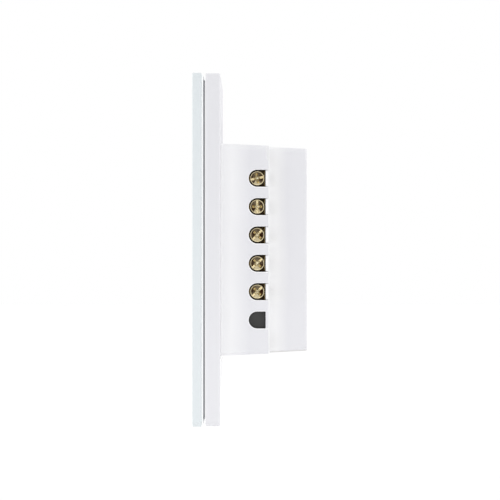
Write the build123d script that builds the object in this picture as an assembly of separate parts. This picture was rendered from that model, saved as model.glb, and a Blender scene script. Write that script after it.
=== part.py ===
from build123d import *
import os
from math import radians, tan

# A wall-mounted touch switch with three channels, made as it would come apart on a bench.
# X runs across the panel, Y from the front glass into the wall, Z up.
# The origin is the centre of the two wall screws, in the plane of the wall.

# Glass front
PANEL_WIDTH = 74.0
PANEL_HEIGHT = 120.0
GLASS_THICKNESS = 3.2
GLASS_CORNER = 2.0
GLASS_EDGE = 0.35
PRINT_THICKNESS = 0.1
PRINT_MARGIN = 0.3
TAPE_THICKNESS = 0.4
TAPE_MARGIN = 0.35
SHADOW_GAP = 0.7

# Touch keys, one above the other
KEY_COUNT = 3
KEY_PITCH = 24.0
RING_RADIUS = 5.4
RING_LINE = 0.5
DIFFUSER_RADIUS = 6.6
CUP_BORE = 5.2
CUP_WALL = 1.1

# Panel carrier, a plate with a skirt that nests in the frame
CARRIER_THICKNESS = 1.5
CARRIER_CORNER = 1.0
SKIRT_WALL = 1.2
SKIRT_DEPTH = 1.4
TONGUE_WIDTH = 8.0
TONGUE_THICKNESS = 1.2
TONGUE_SETBACK = 2.4
TONGUE_HEIGHT = 43.0
TONGUE_END_GAP = 0.3
BARB = 0.4
BARB_LENGTH = 0.9

# Mounting frame
FRAME_MARGIN = 0.2
FRAME_DEPTH = 5.1
FRAME_FLOOR = 2.4
FRAME_RIM = 2.0
FRAME_CORNER = 1.8
FRAME_FRONT_EDGE = 0.25
FRAME_BACK_EDGE = 0.4
WALL_SCREW_REACH = 4.97
WALL_SLOT_WIDTH = 4.4
WALL_SLOT_LENGTH = 8.0
PRY_NOTCH_WIDTH = 9.0
PRY_NOTCH_DEPTH = 1.2

# Terminal housing, the front half of the box
HOUSING_WIDTH = 44.0
HOUSING_HEIGHT = 73.4
HOUSING_DEPTH = 16.5
HOUSING_CORNER = 1.6
HOUSING_WALL = 1.8
HOUSING_DRAFT = 2.3
FLANGE_REACH = 5.0
FLANGE_THICKNESS = 1.2
FLANGE_SCREW_Z = 27.0
POST_SIZE = 4.4
BOSS_SIZE = 4.0
BOSS_DEPTH = 4.6

# Rear cover, the back half of the box, narrower on the terminal side
COVER_DEPTH = 13.5
COVER_DRAFT = 2.9
COVER_WALL = 1.8
LEDGE_WIDTH = 7.3
COVER_LIP = 1.0
COVER_EDGE = 0.4
LIP_WALL = 1.4
SUNK_SEAT = 1.0
TUBE_WALL = 0.9
LABEL_WIDTH = 22.0
LABEL_HEIGHT = 44.0
LABEL_DEPTH = 0.3
TAB_RECESS = 0.6

# Row of terminals on the +X side
TERMINAL_COUNT = 5
WINDOW_COUNT = 6
ROW_END_ROOM = 7.3
ROW_CENTRE_Z = 0.2
SCREW_DEPTH = 12.6
WINDOW_RADIUS = 2.94
WIRE_HOLE_WIDTH = 4.2
WIRE_HOLE_HEIGHT = 4.9
WIRE_HOLE_CORNER = 0.3

# Terminal screw, clamp plate and bracket
SHANK_RADIUS = 1.5
SHANK_LENGTH = 6.0
TRAVEL_IN = 2.1
THREAD_PITCH = 0.5
THREAD_DEPTH = 0.25
HEAD_RADIUS = 2.6
HEAD_HEIGHT = 1.9
HEAD_EDGE = 0.45
HEAD_RECESS = 0.75
SLOT_WIDTH = 0.75
SLOT_DEPTH = 0.85
CROSS_WIDTH = 0.85
CROSS_REACH = 1.75
CROSS_DEPTH = 1.3
CROSS_TAPER = 0.45
SCREW_ANGLES = (12.0, 91.0, 46.0, 42.0, 44.0)
CLAMP_THICKNESS = 0.9
CLAMP_DEPTH = 5.0
CLAMP_SIDE_GAP = 0.4
CLAMP_BORE_GAP = 0.1
BRACKET_THICKNESS = 1.1
BRACKET_SIDE_GAP = 0.2
BRACKET_BORE_GAP = 0.05
FOOT_THICKNESS = 0.8
FOOT_LENGTH = 3.4
LEG_WIDTH = 1.0
LEG_SPREAD = 4.4
JAW_OPENING = 2.4

# Terminal block, a black comb between the terminals
CELL_WALL = 2.4
BLOCK_BACK = 2.0
BLOCK_END_WALL = 1.2
BLOCK_SIDE_GAP = 0.35

# Circuit boards
TOUCH_BOARD_THICKNESS = 1.2
TOUCH_BOARD_GAP = 0.3
TOUCH_BOARD_SETBACK = 1.4
POWER_BOARD_SETBACK = 5.6
POWER_BOARD_THICKNESS = 1.6
POWER_BOARD_GAP = 0.5
BOARD_CORNER = 1.0
TAIL = 0.7

# Touch springs and lamps
SPRING_RADIUS = 3.7
SPRING_WIRE = 0.3
SPRING_TURNS = 3.5
SPRING_END_GAP = 0.1
LED_WIDTH = 2.0
LED_HEIGHT = 1.3
LED_DEPTH = 0.9

# Small fasteners
BOARD_SCREW_SHANK = 0.95
BOARD_SCREW_HEAD = 1.8
BOARD_SCREW_HEAD_HEIGHT = 1.1
BOARD_SCREW_LENGTH = 4.0
FLANGE_SCREW_SHANK = 0.95
FLANGE_SCREW_HEAD = 1.9
FLANGE_SCREW_SINK = 0.9
FLANGE_SCREW_LENGTH = 3.0
COVER_SCREW_SHANK = 1.2
COVER_SCREW_HEAD = 2.1
COVER_SCREW_SINK = 0.8
COVER_SCREW_LENGTH = 7.0
CROSS_SHARE = 0.28

# Clearances
PILOT_GAP = 0.05
FIT_GAP = 0.15
SEAT_GAP = 0.3
PART_GAP = 0.5

# Relays
RELAY_COUNT = 3
RELAY_LENGTH = 18.0
RELAY_WIDTH = 10.2
RELAY_WALL = 0.6
RELAY_BASE = 1.2
RELAY_GAP = 0.1
RELAY_PIN = 0.8
RELAY_PIN_INSET_X = 2.4
RELAY_PIN_INSET_Z = 1.9
RELAY_HEADROOM = 1.9
COIL_OFFSET = 2.2
COIL_RADIUS = 3.6
COIL_FLANGE_RADIUS = 4.1
COIL_FLANGE = 0.6
COIL_HEIGHT = 8.0
CORE_RADIUS = 1.5
YOKE_THICKNESS = 1.0
YOKE_WIDTH = 7.0
POLE_STAND = 1.3
POLE_GAP = 0.5
ARMATURE_GAP = 0.1
ARMATURE_THICKNESS = 0.9
ARMATURE_WIDTH = 6.8
CONTACT_RADIUS = 1.1
CONTACT_THICKNESS = 0.6
CONTACT_INSET = 2.5
CONTACT_GAP = 1.05
STEM = 1.6

# Header between the boards
HEADER_ROWS = 5
HEADER_PITCH = 2.54
HEADER_PIN = 0.64
HEADER_HOLE = 0.74
HEADER_SOCKET = 3.2

# Supply and radio parts
CORE_LENGTH = 15.0
CORE_WALL = 2.0
CORE_WIDTH = 6.0
CORE_HEIGHT = 12.0
WINDING_LENGTH = 12.4
BOBBIN_WALL = 1.0
INPUT_CAN_SHARE = 0.47
INPUT_CAN_HEIGHT = 13.0
OUTPUT_CAN_SHARE = 0.37
OUTPUT_CAN_HEIGHT = 11.0
FILM_SHARE = 0.65
FILM_LENGTH = 12.0
FILM_HEIGHT = 11.5
VARISTOR_RADIUS = 4.3
VARISTOR_THICKNESS = 3.2
VARISTOR_LIFT = 1.5
FUSE_RADIUS = 1.5
FUSE_LENGTH = 8.0
FUSE_LIFT = 0.6
LEAD = 0.35
CHOKE_SHARE = 0.6
CHOKE_HEIGHT = 8.0
CHOKE_FLANGE = 1.2
BRIDGE_WIDTH = 6.4
BRIDGE_HEIGHT = 5.0
BRIDGE_THICKNESS = 2.5
CONVERTER_SIZE = (5.0, 4.0, 1.5)
DRIVER_SIZE = (3.0, 1.4, 1.1)
TOUCH_CHIP_SIZE = (4.0, 10.0, 1.6)
WIFI_WIDTH = 16.0
WIFI_HEIGHT = 24.0
WIFI_THICKNESS = 0.8
WIFI_GAP = 2.0
SHIELD_WIDTH = 12.0
SHIELD_HEIGHT = 15.0
SHIELD_DEPTH = 2.2
SHIELD_CORNER = 0.5

# Places worked out from the sizes above
FRAME_WIDTH = PANEL_WIDTH - 2 * FRAME_MARGIN
FRAME_HEIGHT = PANEL_HEIGHT - 2 * FRAME_MARGIN
RECESS_WIDTH = FRAME_WIDTH - 2 * FRAME_RIM
RECESS_HEIGHT = FRAME_HEIGHT - 2 * FRAME_RIM
WALL_PLANE = 0.0
WALL_SCREW_SPACING = HOUSING_HEIGHT + 2 * WALL_SCREW_REACH
FRAME_FRONT = WALL_PLANE - FRAME_DEPTH
FLOOR_FRONT = WALL_PLANE - FRAME_FLOOR
TAPE_BACK = FRAME_FRONT - SHADOW_GAP
PRINT_BACK = TAPE_BACK - TAPE_THICKNESS
GLASS_BACK = PRINT_BACK - PRINT_THICKNESS
GLASS_FRONT = GLASS_BACK - GLASS_THICKNESS
CARRIER_BACK = TAPE_BACK + CARRIER_THICKNESS
FLANGE_FRONT = FLOOR_FRONT - FLANGE_THICKNESS
TOUCH_BOARD_FRONT = WALL_PLANE - TOUCH_BOARD_SETBACK
TOUCH_BOARD_BACK = TOUCH_BOARD_FRONT + TOUCH_BOARD_THICKNESS
POWER_BOARD_FRONT = WALL_PLANE + POWER_BOARD_SETBACK
POWER_BOARD_BACK = POWER_BOARD_FRONT + POWER_BOARD_THICKNESS
SEAM = WALL_PLANE + HOUSING_DEPTH
LIP_FRONT = SEAM - COVER_LIP
COVER_BACK = SEAM + COVER_DEPTH
COVER_FLOOR = COVER_BACK - COVER_WALL
HOUSING_SLOPE = tan(radians(HOUSING_DRAFT))
COVER_SLOPE = tan(radians(COVER_DRAFT))
TERMINAL_PITCH = (HOUSING_HEIGHT - 2 * ROW_END_ROOM) / WINDOW_COUNT
WINDOW_PITCHES = [(WINDOW_COUNT - 1) / 2 - i for i in range(WINDOW_COUNT)]
WINDOW_ROW = [ROW_CENTRE_Z + TERMINAL_PITCH * step for step in WINDOW_PITCHES]
TERMINAL_ROW = WINDOW_ROW[:TERMINAL_COUNT]
CELL_HEIGHT = TERMINAL_PITCH - CELL_WALL
CLAMP_HEIGHT = CELL_HEIGHT - 2 * CLAMP_SIDE_GAP
BRACKET_HEIGHT = CELL_HEIGHT - 2 * BRACKET_SIDE_GAP
SPRING_RISE = TOUCH_BOARD_FRONT - TAPE_BACK - 2 * SPRING_WIRE - SPRING_END_GAP
KEY_ROW = [KEY_PITCH * ((KEY_COUNT - 1) / 2 - i) for i in range(KEY_COUNT)]
CORNERS = [(sx, sz) for sx in (-1, 1) for sz in (-1, 1)]


def housing_half_width(depth):
    """Half the housing's outer width at a depth behind the wall plane."""
    return HOUSING_WIDTH / 2 - max(depth - WALL_PLANE, 0.0) * HOUSING_SLOPE


def housing_half_height(depth):
    """Half the housing's outer height at a depth behind the wall plane."""
    return HOUSING_HEIGHT / 2 - max(depth - WALL_PLANE, 0.0) * HOUSING_SLOPE


FLANGE_WIDTH = HOUSING_WIDTH + 2 * FLANGE_REACH
FLANGE_SCREW_X = (HOUSING_WIDTH + FLANGE_REACH) / 2
COVER_SIDE_X = housing_half_width(SEAM) - LEDGE_WIDTH
HEAD_OUTER = housing_half_width(SCREW_DEPTH) - HEAD_RECESS
HEAD_SEAT = HEAD_OUTER - HEAD_HEIGHT
CLAMP_INNER = HEAD_SEAT - CLAMP_THICKNESS
BRACKET_OUTER = CLAMP_INNER - JAW_OPENING
BRACKET_INNER = BRACKET_OUTER - BRACKET_THICKNESS
BLOCK_INNER = BRACKET_INNER - BLOCK_BACK
BLOCK_OUTER = housing_half_width(LIP_FRONT) - HOUSING_WALL - BLOCK_SIDE_GAP
JAW_CENTRE = (BRACKET_OUTER + CLAMP_INNER) / 2
STRIP_X = (BRACKET_INNER + BRACKET_OUTER) / 2
LIP_HALF_WIDTH = housing_half_width(SEAM) - HOUSING_WALL - FIT_GAP
LIP_HALF_HEIGHT = housing_half_height(SEAM) - HOUSING_WALL - FIT_GAP
POST_X = housing_half_width(SEAM) - HOUSING_WALL - POST_SIZE / 2
POST_Z = housing_half_height(SEAM) - HOUSING_WALL - POST_SIZE / 2
BOSS_X = housing_half_width(POWER_BOARD_BACK) - HOUSING_WALL - BOSS_SIZE / 2
LEFT_EDGE = -(LIP_HALF_WIDTH - LIP_WALL) + SEAT_GAP
RIGHT_EDGE = HEAD_SEAT - SHANK_LENGTH - TRAVEL_IN - PART_GAP
TUBE_RADIUS = COVER_SCREW_HEAD + FIT_GAP + TUBE_WALL
BOARD_SCREW_CLEAR = BOARD_SCREW_HEAD + PART_GAP
FILM_Z = POST_Z - TUBE_RADIUS - PART_GAP - FILM_LENGTH / 2
BOSS_Z = FILM_Z - FILM_LENGTH / 2 - BOARD_SCREW_CLEAR
HEADER_X = HEADER_PITCH + SEAT_GAP + BOSS_SIZE / 2 - BOSS_X
WIFI_X = HEADER_X - HEADER_PITCH + WIFI_WIDTH / 2
WIFI_Z = POST_SIZE / 2 - POST_Z + PART_GAP + WIFI_HEIGHT / 2
HEADER_Z = WIFI_Z + (WIFI_HEIGHT + HEADER_ROWS * HEADER_PITCH) / 2 + WIFI_GAP
FUSE_X = LEFT_EDGE + FUSE_RADIUS
FUSE_Z = -BOSS_Z - BOARD_SCREW_CLEAR - FUSE_LENGTH / 2 - 3 * LEAD
FUSE_EDGE = LEFT_EDGE + 2 * FUSE_RADIUS
BRIDGE_X = RIGHT_EDGE - BRIDGE_WIDTH / 2
BRIDGE_EDGE = RIGHT_EDGE - BRIDGE_WIDTH
CAN_ROOM = BRIDGE_EDGE - FUSE_EDGE - 3 * PART_GAP
INPUT_CAN_RADIUS = CAN_ROOM * INPUT_CAN_SHARE / 2
OUTPUT_CAN_RADIUS = CAN_ROOM * OUTPUT_CAN_SHARE / 2
INPUT_CAN_X = FUSE_EDGE + PART_GAP + INPUT_CAN_RADIUS
OUTPUT_CAN_X = BRIDGE_EDGE - PART_GAP - OUTPUT_CAN_RADIUS
POLE_TOP = RELAY_BASE + YOKE_THICKNESS + COIL_HEIGHT + POLE_STAND
YOKE_TOP = POLE_TOP + POLE_GAP
RELAY_HEIGHT = YOKE_TOP + ARMATURE_GAP + ARMATURE_THICKNESS + RELAY_HEADROOM + RELAY_WALL
CONTACT_X = CONTACT_INSET - RELAY_LENGTH / 2
RELAY_X = RIGHT_EDGE - RELAY_LENGTH / 2
TRANSFORMER_X = RIGHT_EDGE - CORE_LENGTH / 2
TRANSFORMER_LENGTH = WINDING_LENGTH + 2 * BOBBIN_WALL
FILM_WIDTH = (RIGHT_EDGE - RELAY_LENGTH - LEFT_EDGE) * FILM_SHARE
FILM_X = LEFT_EDGE + FILM_WIDTH / 2
CHOKE_ROOM = RIGHT_EDGE - CORE_LENGTH - FUSE_EDGE
CHOKE_RADIUS = CHOKE_ROOM * CHOKE_SHARE / 2
CHOKE_X = FUSE_EDGE + CHOKE_ROOM / 2
BOARD_ROOM = 2 * (LIP_HALF_HEIGHT - LIP_WALL)
BOARD_TAKEN = RELAY_COUNT * RELAY_WIDTH + TRANSFORMER_LENGTH + 2 * OUTPUT_CAN_RADIUS
ROW_GAP = (BOARD_ROOM - BOARD_TAKEN) / (RELAY_COUNT + 3)
RELAY_STEPS = [RELAY_WIDTH / 2 + (RELAY_WIDTH + ROW_GAP) * i for i in range(RELAY_COUNT)]
RELAY_ROW = [BOARD_ROOM / 2 - ROW_GAP - step for step in RELAY_STEPS]
BOTTOM_EDGE = ROW_GAP - BOARD_ROOM / 2
TRANSFORMER_Z = BOTTOM_EDGE + 2 * OUTPUT_CAN_RADIUS + ROW_GAP + TRANSFORMER_LENGTH / 2
VARISTOR_X = LEFT_EDGE + VARISTOR_THICKNESS / 2
VARISTOR_Z = -BOSS_Z + BOARD_SCREW_CLEAR + VARISTOR_RADIUS
DRIVER_X = RIGHT_EDGE + DRIVER_SIZE[0] / 2


def facing_front(depth):
    """Sketch plane at a depth, with sketch x along X and sketch y along Z, extruding to the front."""
    return Plane(origin=(0, depth, 0), x_dir=(1, 0, 0), z_dir=(0, -1, 0))


def facing_side(place):
    """Sketch plane at a place across X, with sketch x along Y and sketch y along Z, extruding to +X."""
    return Plane(origin=(place, 0, 0), x_dir=(0, 1, 0), z_dir=(1, 0, 0))


def slab(sketch, front, back):
    """Solid with the sketch's outline, from depth front to depth back."""
    return extrude(facing_front(back) * sketch, amount=back - front)


def block(width, height, front, back, x=0.0, z=0.0, corner=0.0):
    """Box or rounded box, width along X and height along Z, between two depths."""
    outline = RectangleRounded(width, height, corner) if corner else Rectangle(width, height)
    return slab(Pos(x, z) * outline, front, back)


def disc(radius, front, back, x=0.0, z=0.0):
    """Cylinder with its axis along Y, between two depths."""
    return slab(Pos(x, z) * Circle(radius), front, back)


def rod(radius, inner, outer, depth, z):
    """Cylinder with its axis along X, from inner to outer."""
    return extrude(facing_side(inner) * Pos(depth, z) * Circle(radius), amount=outer - inner)


def tapered(width, height, corner, front, back, slope, x=0.0):
    """Drafted box that gets smaller to the back by slope on each side, centred on x."""
    shrink = 2 * (back - front) * slope
    near = facing_front(front) * Pos(x, 0) * RectangleRounded(width, height, corner)
    far = facing_front(back) * Pos(x, 0) * RectangleRounded(width - shrink, height - shrink, corner)
    return loft([near, far], ruled=True)


def cross_slots(radius, front, back, x, z):
    """Two crossed bars, the cutter for a screw's cross recess."""
    bar = radius * 2 * CROSS_SHARE
    return [block(2 * radius, bar, front, back, x, z), block(bar, 2 * radius, front, back, x, z)]


def span(one, other):
    """Two depths in order, front first."""
    return min(one, other), max(one, other)


def pan_screw(x, z, seat, into):
    """Board screw along Y. Its head stands on depth seat; into is +1 where it points to the back."""
    tip = seat + into * BOARD_SCREW_LENGTH
    top = seat - into * BOARD_SCREW_HEAD_HEIGHT
    floor = seat - into * BOARD_SCREW_HEAD_HEIGHT / 3
    screw = disc(BOARD_SCREW_SHANK, *span(seat, tip), x, z)
    screw += disc(BOARD_SCREW_HEAD, *span(seat, top), x, z)
    crown = screw.edges().filter_by(GeomType.CIRCLE).sort_by(Axis.Y)[0 if into > 0 else -1]
    screw = fillet(crown, BOARD_SCREW_HEAD_HEIGHT / 3)
    return screw - cross_slots(BOARD_SCREW_HEAD * 0.6, *span(floor, top), x, z)


def sunk_cone(x, z, top, into, shank, head, sink):
    """Countersink between the head's flat top and the shank."""
    wide = facing_front(top) * Pos(x, z) * Circle(head)
    narrow = facing_front(top + into * sink) * Pos(x, z) * Circle(shank)
    return loft([wide, narrow] if into < 0 else [narrow, wide])


def sunk_screw(x, z, top, into, shank, head, sink, length):
    """Countersunk screw along Y, its flat head at depth top."""
    neck = top + into * sink
    screw = sunk_cone(x, z, top, into, shank, head, sink)
    screw += disc(shank, *span(neck, top + into * length), x, z)
    return screw - cross_slots(head * 0.6, *span(top, neck), x, z)


def glass_panel():
    """Tempered glass with a fine chamfer all round, front and back."""
    glass = block(PANEL_WIDTH, PANEL_HEIGHT, GLASS_FRONT, GLASS_BACK, corner=GLASS_CORNER)
    rims = glass.faces().sort_by(Axis.Y)
    return chamfer(rims[0].edges() + rims[-1].edges(), GLASS_EDGE)


def printed_back():
    """White ink on the back of the glass, left clear in a ring at each key."""
    margin = GLASS_EDGE + PRINT_MARGIN
    width, height = PANEL_WIDTH - 2 * margin, PANEL_HEIGHT - 2 * margin
    ink = block(width, height, GLASS_BACK, PRINT_BACK, corner=GLASS_CORNER - PRINT_MARGIN)
    for z in KEY_ROW:
        ring = Pos(0, z) * (Circle(RING_RADIUS + RING_LINE / 2) - Circle(RING_RADIUS - RING_LINE / 2))
        ink -= slab(ring, GLASS_BACK, PRINT_BACK)
    return ink


def adhesive_sheet():
    """White foam tape between the print and the carrier, with a hole at each key."""
    margin = GLASS_EDGE + TAPE_MARGIN
    width, height = PANEL_WIDTH - 2 * margin, PANEL_HEIGHT - 2 * margin
    sheet = block(width, height, PRINT_BACK, TAPE_BACK, corner=GLASS_CORNER - TAPE_MARGIN)
    for z in KEY_ROW:
        sheet -= disc(DIFFUSER_RADIUS + FIT_GAP, PRINT_BACK, TAPE_BACK, z=z)
    return sheet


def diffuser_discs():
    """Milky film behind each ring, as thick as the tape round it."""
    return [disc(DIFFUSER_RADIUS, PRINT_BACK, TAPE_BACK, z=z) for z in KEY_ROW]


def tongue_places():
    """Where the carrier's four snap tongues stand: side, height and the place of the outer face."""
    outer = RECESS_WIDTH / 2 - TONGUE_SETBACK
    return [(sx, sz * TONGUE_HEIGHT, outer) for sx, sz in CORNERS]


def panel_carrier():
    """Plate behind the glass with a skirt, a light cup round each key and four snap tongues."""
    width, height = RECESS_WIDTH - 2 * SEAT_GAP, RECESS_HEIGHT - 2 * SEAT_GAP
    carrier = block(width, height, TAPE_BACK, CARRIER_BACK, corner=CARRIER_CORNER)
    skirt_back = CARRIER_BACK + SKIRT_DEPTH
    skirt = block(width, height, CARRIER_BACK, skirt_back, corner=CARRIER_CORNER)
    skirt -= block(width - 2 * SKIRT_WALL, height - 2 * SKIRT_WALL, CARRIER_BACK, skirt_back)
    carrier += skirt
    cup_back = TOUCH_BOARD_FRONT - SEAT_GAP
    for z in KEY_ROW:
        carrier += disc(CUP_BORE + CUP_WALL, CARRIER_BACK, cup_back, z=z)
        carrier -= disc(CUP_BORE, TAPE_BACK, cup_back, z=z)
    tip = WALL_PLANE - TONGUE_END_GAP
    for side, z, outer in tongue_places():
        stem_x = side * (outer - TONGUE_THICKNESS / 2)
        barb_x = side * (outer + BARB / 2)
        carrier += block(TONGUE_THICKNESS, TONGUE_WIDTH, CARRIER_BACK, tip, stem_x, z)
        carrier += block(BARB, TONGUE_WIDTH, tip - BARB_LENGTH, tip, barb_x, z)
    return carrier


def mounting_frame():
    """White frame against the wall: a rim round a tray, with slots for the two wall screws."""
    frame = block(FRAME_WIDTH, FRAME_HEIGHT, FRAME_FRONT, WALL_PLANE, corner=FRAME_CORNER)
    ends = frame.faces().sort_by(Axis.Y)
    frame = fillet(ends[0].edges(), FRAME_FRONT_EDGE)
    frame = fillet(frame.faces().sort_by(Axis.Y)[-1].edges(), FRAME_BACK_EDGE)
    frame -= block(RECESS_WIDTH, RECESS_HEIGHT, FRAME_FRONT, FLOOR_FRONT, corner=CARRIER_CORNER)
    opening = (HOUSING_WIDTH + 2 * FIT_GAP, HOUSING_HEIGHT + 2 * FIT_GAP)
    frame -= block(*opening, FLOOR_FRONT, WALL_PLANE, corner=HOUSING_CORNER)
    for sign in (-1, 1):
        slot = SlotOverall(WALL_SLOT_LENGTH, WALL_SLOT_WIDTH, rotation=90)
        frame -= slab(Pos(0, sign * WALL_SCREW_SPACING / 2) * slot, FLOOR_FRONT, WALL_PLANE)
    reach = TONGUE_THICKNESS + BARB + 2 * FIT_GAP
    for side, z, outer in tongue_places():
        x = side * (outer + BARB + FIT_GAP - reach / 2)
        frame -= block(reach, TONGUE_WIDTH + 2 * FIT_GAP, FLOOR_FRONT, WALL_PLANE, x, z)
    for x, z in flange_screw_places():
        tip = FLANGE_FRONT + FLANGE_SCREW_LENGTH
        frame -= disc(FLANGE_SCREW_SHANK + PILOT_GAP, FLOOR_FRONT, tip + PILOT_GAP, x, z)
    notch_z = -FRAME_HEIGHT / 2
    frame -= block(PRY_NOTCH_WIDTH, 2 * FRAME_RIM, FRAME_FRONT, FRAME_FRONT + PRY_NOTCH_DEPTH, 0, notch_z)
    return frame


def flange_screw_places():
    """Centres of the screws through the housing's flange."""
    return [(sx * FLANGE_SCREW_X, sz * FLANGE_SCREW_Z) for sx, sz in CORNERS]


def flange_screws():
    """Four countersunk screws that hold the housing's flange to the frame."""
    return [sunk_screw(x, z, FLANGE_FRONT, 1, FLANGE_SCREW_SHANK, FLANGE_SCREW_HEAD, FLANGE_SCREW_SINK,
                       FLANGE_SCREW_LENGTH) for x, z in flange_screw_places()]


def window(z, end):
    """Cutter for a screw window: half round to the front, square to the back."""
    outline = Pos(SCREW_DEPTH, z) * Circle(WINDOW_RADIUS)
    length = end - SCREW_DEPTH
    outline += Pos(SCREW_DEPTH + length / 2, z) * Rectangle(length, 2 * WINDOW_RADIUS)
    inner = housing_half_width(SEAM) - 2 * HOUSING_WALL
    return extrude(facing_side(inner) * outline, amount=HOUSING_WIDTH / 2 - inner)


def terminal_housing():
    """Front half of the box, with a flange in the frame and a row of screw windows."""
    shell = block(HOUSING_WIDTH, HOUSING_HEIGHT, FLANGE_FRONT, WALL_PLANE, corner=HOUSING_CORNER)
    shell += tapered(HOUSING_WIDTH, HOUSING_HEIGHT, HOUSING_CORNER, WALL_PLANE, SEAM, HOUSING_SLOPE)
    shell += block(FLANGE_WIDTH, HOUSING_HEIGHT, FLANGE_FRONT, FLOOR_FRONT, corner=HOUSING_CORNER)
    inner = (HOUSING_WIDTH - 2 * HOUSING_WALL, HOUSING_HEIGHT - 2 * HOUSING_WALL)
    shell -= block(*inner, FLANGE_FRONT, WALL_PLANE)
    shell -= tapered(*inner, HOUSING_CORNER / 4, WALL_PLANE, SEAM, HOUSING_SLOPE)
    for sx, sz in CORNERS:
        shell += corner_post(sx, sz)
        boss_reach = BOSS_SIZE + HOUSING_WALL / 2
        boss_x = sx * (BOSS_X + HOUSING_WALL / 4)
        shell += block(boss_reach, BOSS_SIZE, POWER_BOARD_FRONT - BOSS_DEPTH, POWER_BOARD_FRONT,
                       boss_x, sz * BOSS_Z)
    for x, z in flange_screw_places():
        shell -= sunk_cone(x, z, FLANGE_FRONT, 1, FLANGE_SCREW_SHANK + PILOT_GAP,
                           FLANGE_SCREW_HEAD + PILOT_GAP, FLANGE_SCREW_SINK)
        shell -= disc(FLANGE_SCREW_SHANK + PILOT_GAP, FLANGE_FRONT, FLOOR_FRONT, x, z)
    for sz in (-1, 1):
        pilot_end = POWER_BOARD_BACK - BOARD_SCREW_LENGTH - SEAT_GAP
        shell -= disc(BOARD_SCREW_SHANK + PILOT_GAP, pilot_end, POWER_BOARD_FRONT, -BOSS_X, sz * BOSS_Z)
    for index, z in enumerate(WINDOW_ROW):
        shell -= window(z, SEAM if index < TERMINAL_COUNT else LIP_FRONT)
    return shell


def corner_post(sx, sz):
    """Square post in a corner of the housing, drilled at both ends."""
    reach = POST_SIZE + HOUSING_WALL / 2
    shift = HOUSING_WALL / 4
    x, z = sx * POST_X, sz * POST_Z
    post = block(reach, reach, TOUCH_BOARD_BACK, LIP_FRONT, x + sx * shift, z + sz * shift)
    post -= disc(BOARD_SCREW_SHANK + PILOT_GAP, TOUCH_BOARD_BACK, TOUCH_BOARD_FRONT + BOARD_SCREW_LENGTH
                 + PILOT_GAP, x, z)
    tip = SEAM - COVER_SCREW_LENGTH - PILOT_GAP
    return post - disc(COVER_SCREW_SHANK + PILOT_GAP, tip, LIP_FRONT, x, z)


def cover_screw_places():
    """Centre and head depth of each cover screw: two flush in the ledge, two sunk in the back."""
    return [(sx * POST_X, sz * POST_Z, SEAM if sx > 0 else SEAM + SUNK_SEAT) for sx, sz in CORNERS]


def rear_cover():
    """Back half of the box, with a locating lip, a ledge over the terminals and sunk screw tubes."""
    near_half = housing_half_width(SEAM)
    width = near_half + COVER_SIDE_X
    centre = (COVER_SIDE_X - near_half) / 2
    height = 2 * housing_half_height(SEAM)
    body = tapered(width, height, HOUSING_CORNER, SEAM, COVER_BACK, COVER_SLOPE, centre)
    body = fillet(body.faces().sort_by(Axis.Y)[-1].edges(), COVER_EDGE)
    body += block(2 * LIP_HALF_WIDTH, 2 * LIP_HALF_HEIGHT, LIP_FRONT, SEAM, corner=BOARD_CORNER)
    inner_width, inner_height = width - 2 * COVER_WALL, height - 2 * COVER_WALL
    cavity = tapered(inner_width, inner_height, BOARD_CORNER, SEAM, COVER_FLOOR, COVER_SLOPE, centre)
    lip_height = 2 * (LIP_HALF_HEIGHT - LIP_WALL)
    lip_left = -(LIP_HALF_WIDTH - LIP_WALL)
    lip_right = COVER_SIDE_X - COVER_WALL
    cavity += block(lip_right - lip_left, lip_height, LIP_FRONT, SEAM, (lip_right + lip_left) / 2)
    cover = body - cavity
    tube = COVER_SCREW_HEAD + FIT_GAP
    for x, z, top in cover_screw_places():
        if top > SEAM:
            cover += disc(TUBE_RADIUS, LIP_FRONT, COVER_FLOOR, x, z) & body
            cover -= disc(tube, top, COVER_BACK, x, z)
        cover -= disc(COVER_SCREW_SHANK + PILOT_GAP, LIP_FRONT, top, x, z)
        cover -= sunk_cone(x, z, top, -1, COVER_SCREW_SHANK + PILOT_GAP, COVER_SCREW_HEAD + PILOT_GAP,
                           COVER_SCREW_SINK)
    for z in TERMINAL_ROW:
        cover -= block(WIRE_HOLE_WIDTH, WIRE_HOLE_HEIGHT, LIP_FRONT, SEAM, JAW_CENTRE, z, WIRE_HOLE_CORNER)
        cover += window_tab(z)
    label_front = COVER_BACK - LABEL_DEPTH
    return cover - block(LABEL_WIDTH, LABEL_HEIGHT, label_front, COVER_BACK, centre, corner=BOARD_CORNER)


def window_tab(z):
    """Tab of the cover that closes the back of a screw window, a little below its surface."""
    outer = housing_half_width(SEAM) - TAB_RECESS
    inner = LIP_HALF_WIDTH - FIT_GAP
    height = 2 * (WINDOW_RADIUS - FIT_GAP)
    return block(outer - inner, height, LIP_FRONT, SEAM, (outer + inner) / 2, z)


def cover_screws():
    """Four countersunk screws that hold the rear cover to the housing's posts."""
    return [sunk_screw(x, z, top, -1, COVER_SCREW_SHANK, COVER_SCREW_HEAD, COVER_SCREW_SINK,
                       COVER_SCREW_LENGTH) for x, z, top in cover_screw_places()]


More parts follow.
